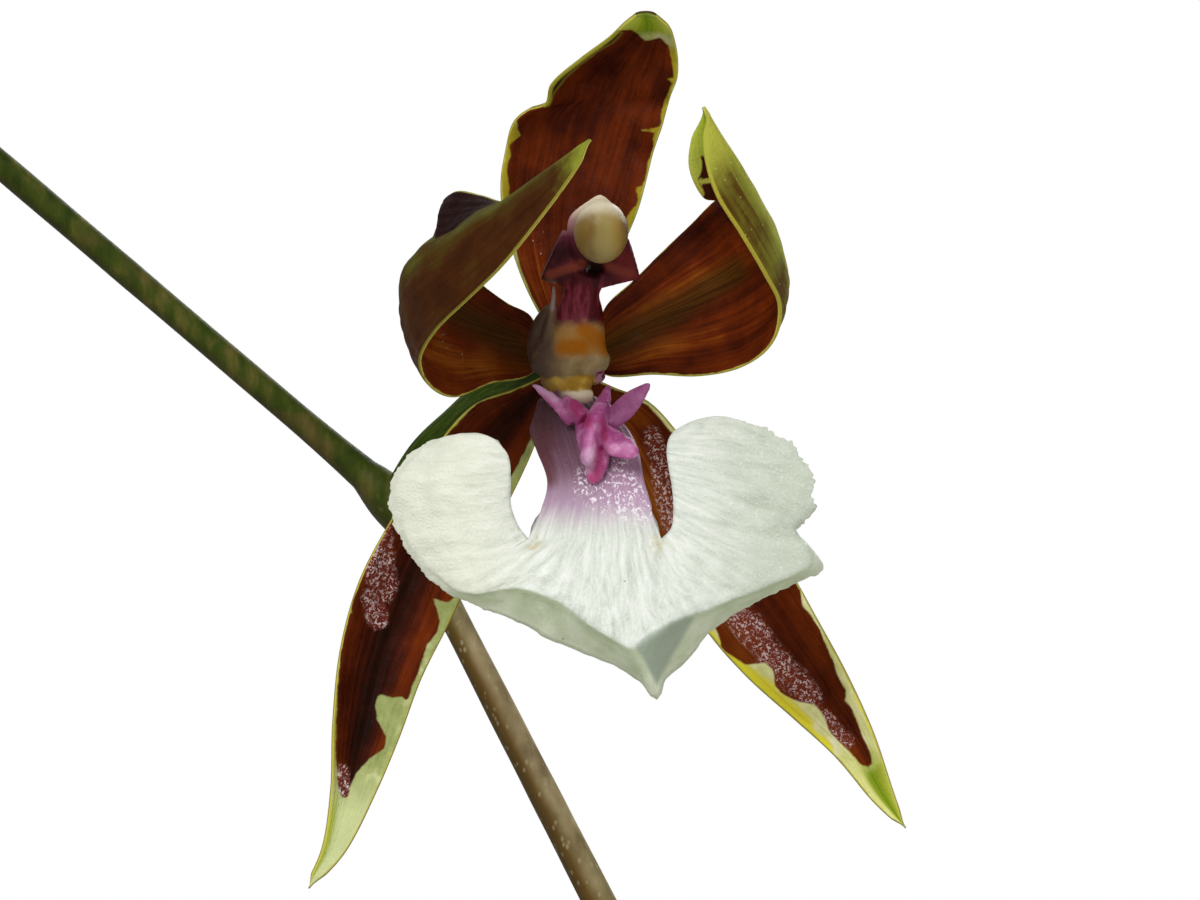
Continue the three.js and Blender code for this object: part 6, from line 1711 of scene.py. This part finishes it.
# Grey-brown towards the left of the foot, and at its far left a dark purple painted shadow from the sepals'
# feet
cream = post.mix(
    post.step(right, 0.3, -1.2, 0, 0.9), cream, post.mix(post.step(right, -0.9, -2.0), "5b4838", "351c20")
)
cream = post.mix(
    post.step(shift, -0.75, -1.0, 0, 1), cream,
    post.stops(post.cloud(spot, 0.8, 3), (0.35, "8c6b1c"), (0.5, "a8822a"), (0.7, "c6a650"))
)
cream = post.mix(
    post.step(shift, -1.55, -1.8, 0, 1), cream, post.mix(post.step(right, 0.2, -0.5), "ded0b4", "7a4860")
)
cream = post.mix(
    post.step(right, 1.5, 1.9) * post.step(shift, -0.4, -0.7), cream,
    post.mix(post.step(post.cloud(spot, 2.5, 3), 0.45, 0.55), "64203f", "a4728a")
)
cream = post.mix(post.step(right, -0.4, -1.5, 0, 0.75), cream, "4c3a30")
patch = post.painted("orange") + wobble
cream = post.mix(post.step(patch, 0.0, 0.7, 0, 0.9), cream, "a87a3c")
cream = post.mix(
    post.step(post.sum("MULTIPLY_ADD", wobble, 0.5, post.painted("amber")), 0.0, 0.8, 0, 0.95), cream,
    "a45f04"
)
neck = post.stops(
    post.cloud(post.stretch(spot, 2.2, 0.7, 0.5), 1, 3), (0.3, "36070d"), (0.5, "5b141d"), (0.72, "87384c")
)
shades = post.mix(post.step(shift, 1.8, 2.5) * post.step(right, -0.8, -0.4), cream, neck)
shades = post.mix(
    post.step(shift, 4.0, 4.9), shades,
    post.stops(post.cloud(spot, 0.8, 4), (0.35, "1e0408"), (0.55, "380910"), (0.75, "5e1c28"))
)
shades = post.mix(post.step(shift, 4.0, 4.9) * post.step(right, 2.3, 3.3, 0, 0.5), shades, "8a2c2c")
shades = post.mix(post.step(post.painted("ridge"), 0.0, 0.8, 0, 0.7), shades, "7c3524")
shades = post.mix(post.step(post.painted("fin"), 0.1, 0.9, 0, 0.75), shades, "94807e")
film = post.step(post.painted("height"), 5.6, 9.0)
filmy = post.stops(film, (0.0, "2e070e"), (0.35, "54202e"), (0.75, "a07878"), (1.0, "cdbfa4"))
shades = post.mix(post.step(up, 5.9, 7.0), shades, filmy)
shades = post.mix(post.step(post.painted("hollow"), 0.5, 1.2, 0.95, 0.0), shades, "1c0805")
velvet = post.cloud(spot, 5, 4)
dull = post.step(post.painted("hollow"), 0.9, 1.6, 0.4, 0.0)
column_finish = post.done(
    shades, post.step(post.cloud(spot, 1.2, 3), 0.3, 0.7, 0.35, 0.55) + dull, post.relief(velvet, 0.06, 0.6)
)
fit(build("first_column", *column(FIRST_FLOWER, COLUMN_GRAIN)), column_finish, "column", "column")

# The anther cap: the little waxy lid on the column's end that covers the pollen. It is an egg with a pale
# hood and ochre sides, held by a thread of tissue.
CAP_AT = (2.0, 7.2, 8.65)
CAP_SIZE = (1.53, 1.76, 1.5)
CAP_SIDES, LATER_CAP_SIDES = 56, 36


def cap(flower, sides):
    """An egg with a shallow furrow down its middle, painted with its height."""
    turns = np.arange(sides) * 2 * math.pi / sides
    rise = np.linspace(-1, 1, sides // 2 + 1)[1:-1] * math.pi / 2
    angle, lift = np.meshgrid(turns, rise)
    x, y, z = np.cos(lift) * np.sin(angle), np.sin(lift), np.cos(lift) * np.cos(angle)
    swell = 1 - 0.03 * np.exp(-(((x + 0.35) / 0.1) ** 2)) * (z > 0) * (y < 0.6) - 0.03 * np.exp(
        -(((y - 0.62 + 0.25 * x * x) / 0.1) ** 2)
    )
    unit = np.stack([x * swell, y, z * swell], -1).reshape(-1, 3)
    unit = np.vstack([unit, [[0, -1, 0], [0, 1, 0]]])
    points = (unit * CAP_SIZE + np.array(CAP_AT)) * (flower["hand"], 1, 1)
    faces = stacked(len(rise), sides)
    if flower["hand"] < 0:
        faces = [face[::-1] for face in faces]
    painted = {"height": unit[:, 1], "right": unit[:, 0], "hood": unit[:, 1] + 0.25 * unit[:, 0] ** 2}
    return placing(flower)(points), faces, painted


lid = Finish("cap_wax", Specular_IOR_Level=0.4)
spot = lid.place()
up, right = lid.painted("height"), lid.painted("right")
cloudy = lid.cloud(lid.stretch(spot, 1, 0.4, 1), 1.0, 4)
side = right + (cloudy - 0.5) * 0.5
ochre = lid.stops(
    lid.sum("MULTIPLY_ADD", side, 0.5, 0.5), (0.08, "8a703c"), (0.3, "7e6122"), (0.42, "948042"),
    (0.6, "9d8a4a"), (0.82, "a08038"), (0.95, "83693c")
)
ochre = lid.mix(lid.step(lid.painted("hood") + cloudy * 0.2, 0.5, 0.95, 0, 0.9), ochre, "d6cbb0")
# Painted shade: grey-olive towards the bottom of the cap
ochre = lid.mix(lid.step(up, -0.4, -1.0, 0, 0.6), ochre, "7d6a48")
fine = lid.cloud(spot, 5, 4)
cap_finish = lid.done(ochre, lid.step(fine, 0.3, 0.7, 0.35, 0.5), lid.relief(fine, 0.05, 0.6))
fit(build("first_cap", *cap(FIRST_FLOWER, CAP_SIDES)), cap_finish, "cap", "anther_cap")

# The two later flowers: built as the first is, higher up the spike, one of them its mirror image. Each is a
# ring of sepals and petals, a lip with its crest, and a column with its cap.
for flower in LATER_FLOWERS:
    name = flower["name"]
    for key in TEPALS:
        fit(
            build(f"{name}_{key}", *tepal(key, flower, LATER_FINENESS)), finishes[key], "tepal",
            f"{name}_tepals"
        )
    fit(build(f"{name}_blade", *lip(flower, *LATER_SPLIT)), lip_finish, "lip", f"{name}_lip")
    fit(build(f"{name}_crest", *crest(flower, LATER_GRAIN)), crest_finish, "crest", f"{name}_lip")
    fit(build(f"{name}_post", *column(flower, LATER_GRAIN)), column_finish, "column", f"{name}_column")
    fit(build(f"{name}_cap", *cap(flower, LATER_CAP_SIDES)), cap_finish, "cap", f"{name}_column")

# The buds: closed flowers at the end of the spike, smaller towards its tip. Each is three sepals folded to an
# egg with a seam between them, on a stalk of its own.
BUD_GAP = 0.3
BUD_LEAN = 0.5
BUD_RINGS, BUD_SIDES = 48, 48


def bud_body(bud):
    foot = np.array(SPIKE[bud["node"]][0], float) + bud["offset"]
    ahead = np.array(bud["offset"], float) * (0.7, 1, 1.2)
    ahead /= np.linalg.norm(ahead)
    s = np.linspace(0, 1, BUD_RINGS + 1)
    centres = foot + ahead * (BUD_GAP + s[:, None] * bud["length"])
    swell = np.sqrt(np.maximum(0, 1 - (2 * s - 1) ** 2)) * (1 - BUD_LEAN * (s - 0.5)) + 0.04

    def seams(share, angles):
        return 1 - 0.09 * np.abs(np.cos(1.5 * angles)) ** 10 * math.sin(math.pi * share) ** 0.5

    return tube(centres, bud["width"] / 2 * swell, bud["width"] / 2.3 * swell, BUD_SIDES, fluted=seams)


closed = Finish("bud_skin", Specular_IOR_Level=0.45)
spot = closed.place()
turn, up = closed.painted("around"), closed.painted("along")
line = closed.cloud(closed.span(turn * 2.2, up * 2), 1.5, 4)
skin = closed.stops(line, (0.3, "5a4a20"), (0.5, "7d7c31"), (0.72, "9aa345"))
skin = closed.mix(closed.step(closed.cloud(spot, 0.7, 4), 0.5, 0.66, 0, 0.6), skin, "5e3018")
skin = closed.mix(closed.step(up, 0.75, 1.0, 0, 0.6), skin, "a3a94c")
bud_finish = closed.done(skin, closed.step(line, 0.3, 0.7, 0.35, 0.5), closed.relief(line, 0.08, 0.6))
for k, shape in enumerate(BUDS, 1):
    fit(build(f"closed_bud_{k}", *bud_body(shape)), bud_finish, "bud", f"bud_{k}")

# The studio: a plain pale floor that fades into a white backdrop, and soft lights above, in front and behind.
# The camera looks level at the first flower from half a metre in front of it.
FLOOR_RADIUS = 2000
FLOOR_SIDES, FLOOR_DROP = 96, -0.05
FADE_FROM, FADE_TO = 350, 1500
LAMP_SIZE = 0.6
SENSOR = 36
EYE = (1.938, -535, 294.984)
LENS = 263.16

floor_turns = np.arange(FLOOR_SIDES) * 2 * math.pi / FLOOR_SIDES
rim = [(FLOOR_RADIUS * math.cos(turn), FLOOR_RADIUS * math.sin(turn), FLOOR_DROP) for turn in floor_turns]
slices = [(0, 1 + k, 1 + (k + 1) % FLOOR_SIDES) for k in range(FLOOR_SIDES)]
floor = build("floor", [(0, 0, FLOOR_DROP), *rim], slices)
ground = Finish("floor_paint")
length = ground.node("VectorMath", operation="LENGTH")
ground.feed(length, 0, ground.place())
far = Wire(ground, length.outputs["Value"])
ground.done("e8e6e2", 0.9, ground.relief(ground.cloud(ground.place(), 0.02), 0.01, 0.1))
glow = ground.node("Emission")
blend = ground.node("MixShader")
ground.feed(blend, 0, ground.step(far, FADE_FROM, FADE_TO))
ground.feed(blend, 1, Wire(ground, ground.shader.outputs[0]))
ground.feed(blend, 2, Wire(ground, glow.outputs[0]))
ground.feed(ground.tree.nodes["Material Output"], 0, Wire(ground, blend.outputs[0]))
floor.data.materials.append(ground.material)

world = bpy.data.worlds.new("studio")
bpy.context.scene.world = world
world.use_nodes = True
tree = world.node_tree
sky, seen = tree.nodes["Background"], tree.nodes.new("ShaderNodeBackground")
sky.inputs["Strength"].default_value = 0.3
sky.inputs["Color"].default_value = (1, 1, 1, 1)
seen.inputs["Color"].default_value = (1, 1, 1, 1)
choose, ray = tree.nodes.new("ShaderNodeMixShader"), tree.nodes.new("ShaderNodeLightPath")
tree.links.new(ray.outputs["Is Camera Ray"], choose.inputs[0])
tree.links.new(sky.outputs[0], choose.inputs[1])
tree.links.new(seen.outputs[0], choose.inputs[2])
tree.links.new(choose.outputs[0], tree.nodes["World Output"].inputs[0])


def lamp(name, at, aim, power):
    light = bpy.data.lights.new(name, "AREA")
    light.size, light.energy = LAMP_SIZE, power
    holder = bpy.data.objects.new(name, light)
    holder.location = Vector(at) * MM
    holder.rotation_euler = (Vector(aim) - Vector(at)).to_track_quat("-Z", "Y").to_euler()
    bpy.context.collection.objects.link(holder)
    return holder


lamps = [
    lamp("key_lamp", (-350, -700, 900), (0, -30, 280), 7.2),
    lamp("fill_lamp", (700, -700, 760), (0, -30, 260), 2.6),
    lamp("back_lamp", (250, 700, 800), (0, -30, 280), 4),
]
camera_data = bpy.data.cameras.new("camera")
camera_data.lens, camera_data.sensor_width = LENS, SENSOR
camera_data.clip_start, camera_data.clip_end = 0.01, 50
camera = bpy.data.objects.new("camera", camera_data)
camera.location = Vector(EYE) * MM
camera.rotation_euler = (math.pi / 2, 0, 0)
bpy.context.collection.objects.link(camera)
bpy.context.scene.camera = camera
bpy.context.scene.view_settings.view_transform = "Standard"
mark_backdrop(floor, camera, *lamps)

shown_low, shown_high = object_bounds()
sizes = {"cad": [list(cad_low), list(cad_high)], "scene": [list(shown_low), list(shown_high)]}
